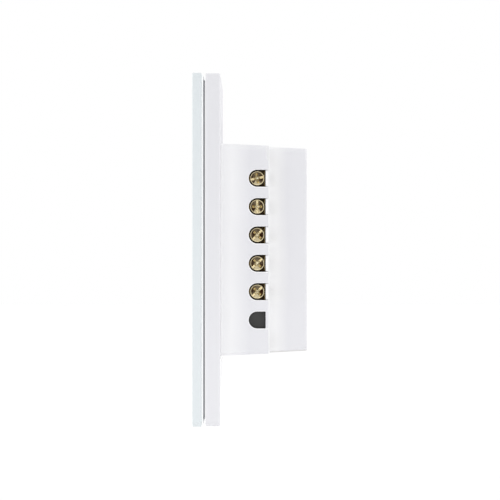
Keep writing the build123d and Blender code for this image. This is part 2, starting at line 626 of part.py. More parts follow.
def terminal_block():
    """Black comb with a cell for each terminal; the last cell is filled in."""
    half = TERMINAL_PITCH * (WINDOW_COUNT - 1) / 2 + CELL_HEIGHT / 2 + BLOCK_END_WALL
    width = BLOCK_OUTER - BLOCK_INNER
    centre = (BLOCK_OUTER + BLOCK_INNER) / 2
    back = LIP_FRONT - FIT_GAP
    comb = block(width, 2 * half, POWER_BOARD_BACK, back, centre, ROW_CENTRE_Z)
    cell_width = BLOCK_OUTER - BRACKET_INNER
    cell_x = (BLOCK_OUTER + BRACKET_INNER) / 2
    for z in TERMINAL_ROW:
        comb -= block(cell_width, CELL_HEIGHT, POWER_BOARD_BACK, back, cell_x, z)
        comb -= rod(SHANK_RADIUS + SEAT_GAP, BLOCK_INNER, BRACKET_INNER, SCREW_DEPTH, z)
    return comb


def terminal_bracket(z):
    """Brass angle: an upright strip with a hole for the screw, a foot on the board and two legs."""
    back = LIP_FRONT - 2 * FIT_GAP
    foot_back = POWER_BOARD_BACK + FOOT_THICKNESS
    bracket = block(BRACKET_THICKNESS, BRACKET_HEIGHT, POWER_BOARD_BACK, back, STRIP_X, z)
    bracket += block(FOOT_LENGTH, BRACKET_HEIGHT, POWER_BOARD_BACK, foot_back,
                     BRACKET_INNER + FOOT_LENGTH / 2, z)
    for sign in (-1, 1):
        leg_z = z + sign * LEG_SPREAD / 2
        bracket += block(BRACKET_THICKNESS, LEG_WIDTH, POWER_BOARD_FRONT - TAIL, POWER_BOARD_BACK,
                         STRIP_X, leg_z)
    return bracket - rod(SHANK_RADIUS + BRACKET_BORE_GAP, BRACKET_INNER, BRACKET_OUTER, SCREW_DEPTH, z)


def clamp_plate(z):
    """Square washer under the screw's head that presses the wire on to the bracket."""
    plate = block(CLAMP_THICKNESS, CLAMP_HEIGHT, SCREW_DEPTH - CLAMP_DEPTH / 2, SCREW_DEPTH + CLAMP_DEPTH / 2,
                  CLAMP_INNER + CLAMP_THICKNESS / 2, z)
    return plate - rod(SHANK_RADIUS + CLAMP_BORE_GAP, CLAMP_INNER, HEAD_SEAT, SCREW_DEPTH, z)


def terminal_screw(z, angle):
    """Brass screw along X: a ringed shank, and a pan head with a cross recess and a slot."""
    tip = HEAD_SEAT - SHANK_LENGTH
    root = SHANK_RADIUS - THREAD_DEPTH
    outline = [(tip, 0), (tip, root)]
    for ring in range(int(SHANK_LENGTH / THREAD_PITCH) - 1):
        crest = tip + THREAD_PITCH * (ring + 0.75)
        outline += [(crest - THREAD_PITCH / 4, root), (crest, SHANK_RADIUS), (crest + THREAD_PITCH / 4, root)]
    edge_start, edge_end = (HEAD_OUTER - HEAD_EDGE, HEAD_RADIUS), (HEAD_OUTER, HEAD_RADIUS - HEAD_EDGE)
    outline += [(HEAD_SEAT, root), (HEAD_SEAT, HEAD_RADIUS), edge_start]
    face = make_face(Polyline(*outline) + RadiusArc(edge_start, edge_end, HEAD_EDGE)
                     + Polyline(edge_end, (HEAD_OUTER, 0), outline[0]))
    screw = revolve(face, axis=Axis.X) - driver_recess()
    return Pos(0, SCREW_DEPTH, z) * Rot(angle, 0, 0) * screw


def driver_recess():
    """Cutter for the head, about the X axis: a tapered cross, and a straight slot along Y."""
    cutter = [Pos(HEAD_OUTER - SLOT_DEPTH / 2, 0, 0) * Box(SLOT_DEPTH, 2 * HEAD_RADIUS, SLOT_WIDTH)]
    for width, length in ((CROSS_WIDTH, 2 * CROSS_REACH), (2 * CROSS_REACH, CROSS_WIDTH)):
        mouth = facing_side(HEAD_OUTER) * Rectangle(width, length)
        floor = facing_side(HEAD_OUTER - CROSS_DEPTH) * Rectangle(width * CROSS_TAPER, length * CROSS_TAPER)
        cutter.append(loft([floor, mouth], ruled=True))
    return cutter


def touch_board():
    """Front circuit board that carries the springs, lamps and touch chip."""
    width = HOUSING_WIDTH - 2 * (HOUSING_WALL + TOUCH_BOARD_GAP)
    height = HOUSING_HEIGHT - 2 * (HOUSING_WALL + TOUCH_BOARD_GAP)
    board = block(width, height, TOUCH_BOARD_FRONT, TOUCH_BOARD_BACK)
    for sx, sz in CORNERS:
        hole = BOARD_SCREW_SHANK + FIT_GAP
        board -= disc(hole, TOUCH_BOARD_FRONT, TOUCH_BOARD_BACK, sx * POST_X, sz * POST_Z)
    return board


def power_board():
    """Rear circuit board, with corners cut away for the posts and holes for pins and legs."""
    half_width = housing_half_width(POWER_BOARD_BACK) - HOUSING_WALL - POWER_BOARD_GAP
    half_height = housing_half_height(POWER_BOARD_BACK) - HOUSING_WALL - POWER_BOARD_GAP
    depths = (POWER_BOARD_FRONT, POWER_BOARD_BACK)
    board = block(2 * half_width, 2 * half_height, *depths)
    post_x = POST_X - POST_SIZE / 2 - SEAT_GAP
    post_z = POST_Z - POST_SIZE / 2 - SEAT_GAP
    notch = (half_width - post_x, half_height - post_z)
    for sx, sz in CORNERS:
        board -= block(*notch, *depths, sx * (post_x + notch[0] / 2), sz * (post_z + notch[1] / 2))
    for sz in (-1, 1):
        board -= disc(BOARD_SCREW_SHANK + FIT_GAP, *depths, -BOSS_X, sz * BOSS_Z)
    for z in TERMINAL_ROW:
        for sign in (-1, 1):
            slot = (BRACKET_THICKNESS + 2 * FIT_GAP, LEG_WIDTH + 2 * FIT_GAP)
            board -= block(*slot, *depths, STRIP_X, z + sign * LEG_SPREAD / 2)
    for x, z in header_places():
        board -= disc(HEADER_PIN / 2 + SEAT_GAP, *depths, x, z)
    for z in RELAY_ROW:
        for x, pin_z in relay_pin_places():
            board -= disc(RELAY_PIN / 2 + SEAT_GAP, *depths, RELAY_X + x, z + pin_z)
    return board


def board_screws():
    """Six equal screws: four hold the touch board and two the power board."""
    front = [pan_screw(sx * POST_X, sz * POST_Z, TOUCH_BOARD_FRONT, 1) for sx, sz in CORNERS]
    return front + [pan_screw(-BOSS_X, sz * BOSS_Z, POWER_BOARD_BACK, -1) for sz in (-1, 1)]


def touch_spring(z):
    """Coil spring that joins a key's place on the board to the film behind the glass."""
    base = TOUCH_BOARD_FRONT - SPRING_WIRE
    line = Helix(SPRING_RISE / SPRING_TURNS, SPRING_RISE, SPRING_RADIUS, center=(0, base, z),
                 direction=(0, -1, 0))
    section = Plane(line @ 0, z_dir=line % 0) * Circle(SPRING_WIRE)
    return sweep(section, path=line, is_frenet=True)


def indicator_leds():
    """One small lamp in the middle of each spring."""
    return [block(LED_WIDTH, LED_HEIGHT, TOUCH_BOARD_FRONT - LED_DEPTH, TOUCH_BOARD_FRONT, z=z)
            for z in KEY_ROW]


def header_places():
    """Centres of the header's pins, in two columns."""
    rows = [HEADER_Z + HEADER_PITCH * (i - (HEADER_ROWS - 1) / 2) for i in range(HEADER_ROWS)]
    return [(HEADER_X + sign * HEADER_PITCH / 2, z) for z in rows for sign in (-1, 1)]


def header_shell(front, back):
    """Moulded block of the header with a square hole for each pin."""
    shell = block(2 * HEADER_PITCH, HEADER_ROWS * HEADER_PITCH, front, back, HEADER_X, HEADER_Z)
    for x, z in header_places():
        shell -= block(HEADER_HOLE, HEADER_HOLE, front, back, x, z)
    return shell


def header_socket():
    """Socket on the back of the touch board."""
    return header_shell(TOUCH_BOARD_BACK, TOUCH_BOARD_BACK + HEADER_SOCKET)


def header_strip():
    """Pin strip on the front of the power board."""
    return header_shell(TOUCH_BOARD_BACK + HEADER_SOCKET, POWER_BOARD_FRONT)


def header_pins():
    """Square pins through the strip, from inside the socket to the back of the power board."""
    depths = (TOUCH_BOARD_BACK + FIT_GAP, POWER_BOARD_BACK + FIT_GAP)
    return [block(HEADER_PIN, HEADER_PIN, *depths, x, z) for x, z in header_places()]


def relay_pin_places():
    """The relay's pins, from its centre: two for the coil, one common and one contact."""
    x, z = RELAY_LENGTH / 2 - RELAY_PIN_INSET_X, RELAY_WIDTH / 2 - RELAY_PIN_INSET_Z
    return [(x, -z), (x, z), (CONTACT_X, 0.0), (0.0, z)]


def above_board(height):
    """Depth of a point that stands this far off the back of the power board."""
    return POWER_BOARD_BACK + height


def relay_cover(z):
    """Relay's plastic case, open towards the board."""
    case = block(RELAY_LENGTH, RELAY_WIDTH, above_board(0), above_board(RELAY_HEIGHT), RELAY_X, z)
    case = fillet(case.edges().filter_by(Axis.Y), RELAY_WALL)
    case = fillet(case.faces().sort_by(Axis.Y)[-1].edges(), RELAY_WALL / 2)
    inner = (RELAY_LENGTH - 2 * RELAY_WALL, RELAY_WIDTH - 2 * RELAY_WALL)
    return case - block(*inner, above_board(0), above_board(RELAY_HEIGHT - RELAY_WALL), RELAY_X, z)


def relay_base(z):
    """Relay's floor with its pins and the post of the fixed contact."""
    inner = RELAY_LENGTH - 2 * (RELAY_WALL + RELAY_GAP), RELAY_WIDTH - 2 * (RELAY_WALL + RELAY_GAP)
    base = block(*inner, above_board(0), above_board(RELAY_BASE), RELAY_X, z)
    tail = POWER_BOARD_FRONT - TAIL
    for x, pin_z in relay_pin_places():
        base += block(RELAY_PIN, RELAY_PIN / 2, tail, above_board(0), RELAY_X + x, z + pin_z)
    top = YOKE_TOP + ARMATURE_GAP - CONTACT_THICKNESS - CONTACT_GAP
    post_top = above_board(top - CONTACT_THICKNESS)
    x = RELAY_X + CONTACT_X
    base += block(STEM, 2 * CONTACT_RADIUS, above_board(RELAY_BASE), post_top, x, z)
    return base + disc(CONTACT_RADIUS, post_top, above_board(top), x, z)


def relay_magnet(z):
    """Yoke with its core, and the coil wound on its bobbin round the core."""
    x = RELAY_X + COIL_OFFSET
    yoke_top = above_board(YOKE_TOP)
    low = above_board(RELAY_BASE)
    upright = RELAY_X + yoke_place()
    foot_length = upright + YOKE_THICKNESS / 2 - (x - CORE_RADIUS)
    yoke = block(YOKE_THICKNESS, YOKE_WIDTH, low, yoke_top, upright, z)
    yoke += block(foot_length, YOKE_WIDTH, low, low + YOKE_THICKNESS, x - CORE_RADIUS + foot_length / 2, z)
    yoke += disc(CORE_RADIUS, low, above_board(POLE_TOP), x, z)
    start = low + YOKE_THICKNESS
    end = start + COIL_HEIGHT
    coil = disc(COIL_RADIUS, start, end, x, z)
    coil += disc(COIL_FLANGE_RADIUS, start, start + COIL_FLANGE, x, z)
    coil += disc(COIL_FLANGE_RADIUS, end - COIL_FLANGE, end, x, z)
    return [yoke, coil - disc(CORE_RADIUS, start, end, x, z)]


def yoke_place():
    """Place of the yoke's upright along the relay, from its centre."""
    return RELAY_LENGTH / 2 - RELAY_WALL - RELAY_GAP - YOKE_THICKNESS / 2 - SEAT_GAP


def relay_armature(z):
    """Iron plate that rocks on top of the yoke and carries the moving contact."""
    low = above_board(YOKE_TOP + ARMATURE_GAP)
    heel = RELAY_X + yoke_place() + YOKE_THICKNESS / 2
    toe = RELAY_X + CONTACT_X - CONTACT_RADIUS
    plate = block(heel - toe, ARMATURE_WIDTH, low, low + ARMATURE_THICKNESS, (heel + toe) / 2, z)
    return plate + disc(CONTACT_RADIUS, low - CONTACT_THICKNESS, low, RELAY_X + CONTACT_X, z)


def transformer():
    """Ferrite ring, taped winding and bobbin ends of the small supply transformer."""
    x, z = TRANSFORMER_X, TRANSFORMER_Z
    core = block(CORE_LENGTH, CORE_WIDTH, above_board(0), above_board(CORE_HEIGHT), x, z)
    opening = CORE_LENGTH - 2 * CORE_WALL
    core -= block(opening, CORE_WIDTH, above_board(CORE_WALL), above_board(CORE_HEIGHT - CORE_WALL), x, z)
    width, high = opening - 2 * FIT_GAP, CORE_HEIGHT - CORE_WALL - FIT_GAP
    winding = block(width, WINDING_LENGTH, above_board(CORE_WALL + FIT_GAP), above_board(high), x, z)
    winding = fillet(winding.edges().filter_by(Axis.Z), CORE_WALL / 2)
    end_z = (WINDING_LENGTH + BOBBIN_WALL) / 2
    bobbin = [block(width, BOBBIN_WALL, above_board(0), above_board(high), x, z + sign * end_z)
              for sign in (-1, 1)]
    return core, winding, bobbin


def electrolytic(x, radius, height):
    """Can with the rolled groove of its seal near the board."""
    z = BOTTOM_EDGE + radius
    can = disc(radius, above_board(0), above_board(height), x, z)
    can = fillet(can.faces().sort_by(Axis.Y)[-1].edges(), radius * 0.12)
    groove = Circle(radius) - Circle(radius * 0.92)
    return can - slab(Pos(x, z) * groove, above_board(height * 0.1), above_board(height * 0.16))


def film_capacitor():
    """Moulded box capacitor."""
    box = block(FILM_WIDTH, FILM_LENGTH, above_board(0), above_board(FILM_HEIGHT), FILM_X, FILM_Z)
    return fillet(box.faces().sort_by(Axis.Y)[-1].edges(), FILM_WIDTH / 12)


def varistor():
    """Coated disc that stands on edge on its two leads."""
    centre = above_board(VARISTOR_LIFT + VARISTOR_RADIUS)
    side = VARISTOR_X - VARISTOR_THICKNESS / 2
    body = rod(VARISTOR_RADIUS, side, side + VARISTOR_THICKNESS, centre, VARISTOR_Z)
    body = fillet(body.edges(), VARISTOR_THICKNESS * 0.3)
    for sign in (-1, 1):
        lead_z = VARISTOR_Z + sign * VARISTOR_RADIUS * 0.6
        body += block(2 * LEAD, 2 * LEAD, above_board(0), centre, VARISTOR_X, lead_z)
    return body


def fuse_resistor():
    """Axial part that lies along Z, with its leads bent to the board."""
    centre = above_board(FUSE_LIFT + FUSE_RADIUS)
    body = Pos(FUSE_X, centre, FUSE_Z) * Cylinder(FUSE_RADIUS, FUSE_LENGTH)
    body = fillet(body.edges(), FUSE_RADIUS * 0.3)
    body += Pos(FUSE_X, centre, FUSE_Z) * Cylinder(LEAD, FUSE_LENGTH + 4 * LEAD)
    for sign in (-1, 1):
        lead_z = FUSE_Z + sign * (FUSE_LENGTH / 2 + 2 * LEAD)
        body += block(2 * LEAD, 2 * LEAD, above_board(0), centre + LEAD, FUSE_X, lead_z)
    return body


def choke():
    """Drum core with its winding, upright on the board."""
    low, high = CHOKE_FLANGE, CHOKE_HEIGHT - CHOKE_FLANGE
    drum = disc(CHOKE_RADIUS, above_board(0), above_board(low), CHOKE_X, TRANSFORMER_Z)
    drum += disc(CHOKE_RADIUS, above_board(high), above_board(CHOKE_HEIGHT), CHOKE_X, TRANSFORMER_Z)
    return drum + disc(CHOKE_RADIUS * 0.82, above_board(low), above_board(high), CHOKE_X, TRANSFORMER_Z)


def bridge_rectifier():
    """Flat moulded rectifier on the back of the power board."""
    z = BOTTOM_EDGE + BRIDGE_HEIGHT / 2
    body = block(BRIDGE_WIDTH, BRIDGE_HEIGHT, above_board(0), above_board(BRIDGE_THICKNESS), BRIDGE_X, z)
    return chamfer(body.faces().sort_by(Axis.Y)[-1].edges(), BRIDGE_THICKNESS / 6)


def front_chip(size, x, z):
    """Moulded chip on the front of the power board."""
    width, height, thickness = size
    return block(width, height, POWER_BOARD_FRONT - thickness, POWER_BOARD_FRONT, x, z)


def relay_drivers():
    """Three transistors, one for each relay, on the front of the power board."""
    return [front_chip(DRIVER_SIZE, DRIVER_X, z) for z in RELAY_ROW]


def touch_chip():
    """Touch controller on the back of the touch board."""
    width, height, thickness = TOUCH_CHIP_SIZE
    back = TOUCH_BOARD_BACK + thickness
    chip = block(width, height, TOUCH_BOARD_BACK, back, -HEADER_X / 2, KEY_PITCH / 2)
    return chamfer(chip.faces().sort_by(Axis.Y)[-1].edges(), thickness / 6)


def wifi_module():
    """Small radio board and its shield can, on the back of the touch board."""
    middle = TOUCH_BOARD_BACK + WIFI_THICKNESS
    board = block(WIFI_WIDTH, WIFI_HEIGHT, TOUCH_BOARD_BACK, middle, WIFI_X, WIFI_Z)
    shift = (WIFI_HEIGHT - SHIELD_HEIGHT) / 4
    can = block(SHIELD_WIDTH, SHIELD_HEIGHT, middle, middle + SHIELD_DEPTH, WIFI_X, WIFI_Z + shift,
                SHIELD_CORNER)
    return board, can


def numbered(name, makers):
    """Names such as name_1, name_2 for a list of like pieces."""
    return {f"{name}_{i + 1}": piece for i, piece in enumerate(makers)}


def as_one(pieces):
    """One shape to export from a solid or a list of separate solids."""
    if not isinstance(pieces, (list, tuple)):
        return pieces
    return Compound(children=[solid for piece in pieces for solid in piece.solids()])


def all_parts():
    """Every sub-part by its name."""
    core, winding, bobbin = transformer()
    wifi_board, wifi_can = wifi_module()
    parts = {
        "glass_panel": glass_panel(),
        "printed_back": printed_back(),
        "adhesive_sheet": adhesive_sheet(),
        "diffuser_discs": diffuser_discs(),
        "panel_carrier": panel_carrier(),
        "mounting_frame": mounting_frame(),
        "flange_screws": flange_screws(),
        "terminal_housing": terminal_housing(),
        "rear_cover": rear_cover(),
        "cover_screws": cover_screws(),
        "terminal_block": terminal_block(),
        "terminal_brackets": [terminal_bracket(z) for z in TERMINAL_ROW],
        "touch_board": touch_board(),
        "power_board": power_board(),
        "board_screws": board_screws(),
        "indicator_leds": indicator_leds(),
        "header_socket": header_socket(),
        "header_strip": header_strip(),
        "header_pins": header_pins(),
        "transformer_core": core,
        "transformer_winding": winding,
        "transformer_bobbin": bobbin,
        "input_capacitor": electrolytic(INPUT_CAN_X, INPUT_CAN_RADIUS, INPUT_CAN_HEIGHT),
        "output_capacitor": electrolytic(OUTPUT_CAN_X, OUTPUT_CAN_RADIUS, OUTPUT_CAN_HEIGHT),
        "film_capacitor": film_capacitor(),
        "varistor": varistor(),
        "fuse_resistor": fuse_resistor(),
        "choke": choke(),
        "bridge_rectifier": bridge_rectifier(),
        "converter_chip": front_chip(CONVERTER_SIZE, TRANSFORMER_X, TRANSFORMER_Z),
        "relay_drivers": relay_drivers(),
        "touch_chip": touch_chip(),
        "wifi_module_board": wifi_board,
        "wifi_shield_can": wifi_can,
    }
    parts |= numbered("touch_spring", [touch_spring(z) for z in KEY_ROW])
    parts |= numbered("clamp_plate", [clamp_plate(z) for z in TERMINAL_ROW])
    parts |= numbered("terminal_screw", [terminal_screw(z, a) for z, a in zip(TERMINAL_ROW, SCREW_ANGLES)])
    for name, maker in (("cover", relay_cover), ("base", relay_base), ("magnet", relay_magnet),
                        ("armature", relay_armature)):
        parts |= {f"relay_{i + 1}_{name}": maker(z) for i, z in enumerate(RELAY_ROW)}
    return parts


def main():
    """Writes one STEP file for each sub-part."""
    os.makedirs("parts", exist_ok=True)
    for name, pieces in all_parts().items():
        export_step(as_one(pieces), f"parts/{name}.step")
    print("terminal heights", [round(z, 2) for z in TERMINAL_ROW])
    print("head outer", round(HEAD_OUTER, 3), "clamp inner", round(CLAMP_INNER, 3),
          "bracket outer", round(BRACKET_OUTER, 3), "jaw centre", round(JAW_CENTRE, 3))
    print("spring gap between turns",
          round(SPRING_RISE / SPRING_TURNS - 2 * SPRING_WIRE, 2))


main()
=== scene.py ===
# %% [markdown]
# # A touch switch for the wall, seen from its terminal side
# The object is a sheet of glass on a white moulded frame, with a white box behind it. The box has six
# D-shaped windows, and a brass screw stands in five of them. The frame, the box and the screws come from the
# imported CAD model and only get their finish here. Thin things that no moulded or turned solid has are added:
# solder and chip parts on the front board, and the label on the back.

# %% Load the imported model
import math

import bpy
import numpy as np
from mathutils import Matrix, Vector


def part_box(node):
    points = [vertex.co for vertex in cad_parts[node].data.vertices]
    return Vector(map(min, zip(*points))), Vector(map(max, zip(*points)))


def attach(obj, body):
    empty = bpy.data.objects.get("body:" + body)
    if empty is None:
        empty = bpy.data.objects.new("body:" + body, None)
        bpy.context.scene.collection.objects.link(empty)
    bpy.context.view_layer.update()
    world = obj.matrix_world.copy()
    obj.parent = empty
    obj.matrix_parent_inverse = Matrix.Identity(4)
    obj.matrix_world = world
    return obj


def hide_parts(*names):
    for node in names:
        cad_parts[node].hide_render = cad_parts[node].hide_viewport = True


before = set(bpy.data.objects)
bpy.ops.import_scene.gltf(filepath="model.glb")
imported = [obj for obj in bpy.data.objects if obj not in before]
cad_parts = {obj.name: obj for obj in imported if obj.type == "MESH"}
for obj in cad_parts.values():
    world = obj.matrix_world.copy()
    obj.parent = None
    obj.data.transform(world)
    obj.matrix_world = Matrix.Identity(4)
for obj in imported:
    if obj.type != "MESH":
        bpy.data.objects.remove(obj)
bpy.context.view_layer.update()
MM = 0.001


def middle(node):
    """Centre of a node's box."""
    low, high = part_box(node)
    return (low + high) / 2


def in_mm(lengths):
    """Lengths in millimetres, rounded for printing."""
    return [round(float(length) / MM, 2) for length in lengths]


# %% [markdown]
# ## Short calls for shader nodes
# A finish is a mixture: some noise, a mask worked out from the place on the piece, and two colours. A Pot is
# the node tree that it is mixed in, and its calls keep each mixture to a few readable lines. A value in a
# call is a number, another node's output, or "X", "Y" or "Z" for the place along that axis. Places are in
# metres in the object's own coordinates, so a screw keeps its marks as it turns. A colour is six digits, as
# picture programs show it. Where a call asks for a noise, its scale is enough, and a relief's depth is in
# millimetres. The line @finish above a function makes a material of what it returns, under the same name.

# %% Node calls


def shade(code):
    """Colour for a shader from a picture's colour code."""
    level = np.array(list(bytes.fromhex(code))) / 255
    linear = np.where(level <= 0.04045, level / 12.92, ((level + 0.055) / 1.055) ** 2.4)
    return (*linear.tolist(), 1.0)


class Pot:
    """One node tree, with a short call for each kind of node that the finishes use."""

    def __init__(self, tree):
        self.tree = tree

    def add(self, kind, inputs=(), **settings):
        """Adds a node. inputs maps a socket's name or number to a value."""
        node = self.tree.nodes.new(kind if kind.startswith("Node") else "ShaderNode" + kind)
        for key, value in settings.items():
            setattr(node, key, value)
        for key, value in dict(inputs).items():
            self.join(value, node.inputs[key])
        return node

    def join(self, value, socket):
        """Puts a number or a colour into a socket, or links an axis or another node's output to it."""
        if isinstance(value, str):
            value = self.place(value) if value in "XYZ" else shade(value)
        if isinstance(value, bpy.types.NodeSocket):
            self.tree.links.new(value, socket)
        else:
            socket.default_value = value

    def place(self, axis=None):
        """Object coordinates in metres, or one of them."""
        spot = self.add("TexCoord").outputs["Object"]
        return self.add("SeparateXYZ", {0: spot}).outputs[axis] if axis else spot

    def maths(self, operation, *values):
        """Result of one sum, such as SINE or WRAP."""
        return self.add("Math", dict(enumerate(values)), operation=operation).outputs[0]

    def chain(self, operation, values):
        """The same sum carried along several values."""
        result = values[0]
        for value in values[1:]:
            result = self.maths(operation, result, value)
        return result

    def plus(self, *values):
        """Sum of the values."""
        return self.chain("ADD", values)

    def times(self, *values):
        """Product of the values."""
        return self.chain("MULTIPLY", values)

    def either(self, *masks):
        """Highest of several masks."""
        return self.chain("MAXIMUM", masks)

    def minus(self, value, other):
        """value less other."""
        return self.maths("SUBTRACT", value, other)

    def size(self, value):
        """value without its sign."""
        return self.maths("ABSOLUTE", value)

    def above(self, value, limit):
        """1 where value is more than limit, else 0."""
        return self.maths("GREATER_THAN", value, limit)

    def below(self, value, limit):
        """1 where value is less than limit, else 0."""
        return self.maths("LESS_THAN", value, limit)

    def between(self, value, low, high):
        """1 where value lies from low to high, else 0."""
        return self.times(self.above(value, low), self.below(value, high))

    def away(self, one, other):
        """Distance covered by two steps at right angles."""
        return self.maths("SQRT", self.plus(self.times(one, one), self.times(other, other)))

    def from_axis(self, centre):
        """Distance in metres from the line through centre that runs along Y."""
        return self.away(self.minus("X", centre[0]), self.minus("Z", centre[2]))

    def waves(self, along, pitch):
        """Sine wave that repeats at every pitch."""
        return self.maths("SINE", self.times(along, 2 * math.pi / pitch))

    def spread(self, value, low, high, start=0.0, end=1.0):
        """start where value is low, end where it is high, and a straight line between."""
        limits = {"Value": value, "From Min": low, "From Max": high, "To Min": start, "To Max": end}
        return self.add("MapRange", limits).outputs["Result"]

    def noise(self, scale, detail=2.0, stretch=(1.0, 1.0, 1.0), shift=0.0):
        """Soft noise from 0 to 1 with about scale lumps a metre."""
        spot = self.add("Mapping", {"Vector": self.place(), "Scale": stretch, "Location": (shift,) * 3})
        return self.add("TexNoise", {"Vector": spot.outputs[0], "Scale": scale, "Detail": detail}).outputs[0]

    def made(self, noise, detail):
        """The noise itself, or a new one where only its scale is given."""
        return self.noise(noise, detail) if isinstance(noise, float) else noise

    def mix(self, noise, one, other, detail=2.0):
        """Colour one where the noise or mask is 0 and colour other where it is 1."""
        return self.add("Mix", {0: self.made(noise, detail), 6: one, 7: other}, data_type="RGBA").outputs[2]

    def gloss(self, noise, low, high, detail=2.0):
        """Roughness that drifts from low to high with the noise."""
        return self.spread(self.made(noise, detail), 0.2, 0.8, low, high)

    def relief(self, noise, depth, detail=2.0):
        """Node for a surface that rises by depth where the noise or mask is 1."""
        return self.add("Bump", {"Height": self.made(noise, detail), "Distance": depth * MM, "Strength": 1.0})

    def socket(self, label, side):
        """New input or output of a node group."""
        kind = "NodeSocketVector" if label == "Normal" else "NodeSocketFloat"
        return self.tree.interface.new_socket(label, in_out=side, socket_type=kind)

    def effect(self, group, **values):
        """Outputs of a shared effect, by name."""
        return self.add("Group", values, node_tree=group).outputs

    def look(self, colour, gloss, relief, corner=None, **more):
        """Sockets of a finish. colour, gloss and relief hold what mix, gloss and relief are given.

        The relief lies on the rounded normal of corner. more names other sockets, with _ for a space.
        """
        bump = self.relief(*relief)
        if corner:
            self.join(corner["Normal"], bump.inputs["Normal"])
        return {"Base_Color": self.mix(*colour) if isinstance(colour, tuple) else colour,
                "Roughness": self.gloss(*gloss) if isinstance(gloss, tuple) else gloss,
                "Normal": bump.outputs[0], **more}


def effect(**inputs):
    """Makes a node group with number inputs of what the function below gives: numbers, or a Normal."""

    def fill(build):
        group = bpy.data.node_groups.new(build.__name__, "ShaderNodeTree")
        pot = Pot(group)
        for label, value in inputs.items():
            pot.socket(label, "INPUT").default_value = value
        outputs = build(pot, pot.add("NodeGroupInput").outputs)
        for label in outputs:
            pot.socket(label, "OUTPUT")
        pot.add("NodeGroupOutput", outputs)
        return group

    return fill


def finish(name=None, **fixed):
    """Makes a material with fixed numbers in some sockets and what the function below gives in others."""

    def fill(mixture):
        material = bpy.data.materials.new(name or mixture.__name__)
        material.use_nodes = True
        pot = Pot(material.node_tree)
        shader = material.node_tree.nodes["Principled BSDF"]
        for key, value in {**fixed, **mixture(pot)}.items():
            pot.join(value, shader.inputs[key.replace("_", " ")])
        return material

    return fill


print("node calls ready")

# %% [markdown]
# ## Effects that several finishes share
# The line @effect makes a node group, which gives only numbers or a normal. Moulded plastic has a fine
# spark-eroded grain from its tool, slow changes of tone, and corners that are never quite sharp. Stamped and
# turned metal has fine lines from the roller or the lathe, and a few scuffs.

# %% Moulded grain, soft corners, scuffs and metal lines


@effect(Grain=7000.0)
def moulded_skin(pot, given):
    """Slow tone, patchy gloss and the fine grain of the mould."""
    grain = pot.noise(given["Grain"], 4.0)
    ripple = pot.noise(420.0, 1.0, shift=0.3)
    height = pot.plus(pot.times(grain, 0.7), pot.times(ripple, 0.3))
    return {"Tone": pot.noise(38.0, shift=0.7), "Gloss": pot.noise(160.0, 3.0, shift=0.1),
            "Height": height}


@effect(Radius=0.15 * MM)
def soft_corners(pot, given):
    """Rounded normal near every edge, and a mask that is 1 on the edge itself."""
    rounded = pot.add("Bevel", {"Radius": given["Radius"]}, samples=6).outputs[0]
    flat = pot.add("NewGeometry").outputs["True Normal"]
    agree = pot.add("VectorMath", {0: rounded, 1: flat}, operation="DOT_PRODUCT").outputs["Value"]
    return {"Normal": rounded, "Edge": pot.spread(agree, 0.9998, 0.96)}


@effect(Scale=5000.0)
def scuffs(pot, given):
    """Thin marks in two directions, kept only where a slower noise is high."""
    along = pot.noise(given["Scale"], 2.0, (1.0, 1.0, 0.08), 0.2)
    across = pot.noise(given["Scale"], 2.0, (1.0, 0.1, 1.0), 0.9)
    patches = pot.spread(pot.noise(300.0, 1.0, shift=0.5), 0.5, 0.65)
    lines = pot.either(pot.spread(along, 0.62, 0.68), pot.spread(across, 0.64, 0.7))
    return {"Marks": pot.times(lines, patches)}


@effect(Scale=9000.0)
def rolled_lines(pot, given):
    """Fine parallel lines along Z, as strip has from the roller."""
    lines = pot.noise(given["Scale"], 3.0, (1.0, 1.0, 0.03))
    return {"Lines": lines, "Stain": pot.noise(220.0, 3.0, shift=0.4)}


print("effects", [group.name for group in bpy.data.node_groups])

# %% [markdown]
# ## White plastic
# The frame, the terminal housing and the rear cover are one white ABS, a little violet in the shade. Each
# half of the box is painted lighter near its front edge, painted light for the light bounced off the face in
# front of it. Edges, lips and the window rims get painted highlights, the cover beside each terminal gets
# painted light, and the cover's lowest line a painted shade line. The tool's grain is too fine to see from the
# camera and only softens the shine.

# %% White plastic of the frame and the box
# The box's tones are three levels lighter than the frame's: on one ABS, that step is painted light.
BOX_WHITES = "E4E4E8", "E7E7EB"
FRAME_WHITES = "E1E1E5", "E4E4E8"
# Lighter tones painted near the front of each half, painted light for light bounced off the face in front.
HOUSING_BOUNCE_TONE = "F7F7F8"
COVER_BOUNCE_TONE = "F3F3F4"
# Near white of the painted highlights on edges, lips and window rims, and of the painted light by the
# terminals.
WHITE_HIGHLIGHT = "FDFDFE"
# Warm grey of the painted shade line along the cover's lowest edge.
WHITE_FOOT_SHADE = "D6D5D4"
RIM_RADIUS = 0.3 * MM
LIP_RADIUS_SHARE = 0.1
SHOULDER_BAND = 5.0 * MM
BAND_WANDER = 1.2 * MM
WINDOW_RADIUS = 2.94 * MM
# Width of the painted highlight round each window.
WINDOW_RIM = 0.3 * MM
RIM_OVERLAP = 0.02 * MM
# Shares of the painted highlight on edges and on lip bands.
EDGE_LIGHT, LIP_LIGHT = 0.85, 0.9
DRAFT = 0.05
# Heights of the painted shade line above the cover's foot.
FOOT_LINE = 0.35 * MM, 0.65 * MM
# Reach of the painted light that lifts the shade beside each terminal.
SHADED_DEPTH = 4.4 * MM
SHADED_LEVEL = 1.8 * MM, 4.6 * MM
POLISH = 0.1
BACK_FACE = -0.05 * MM
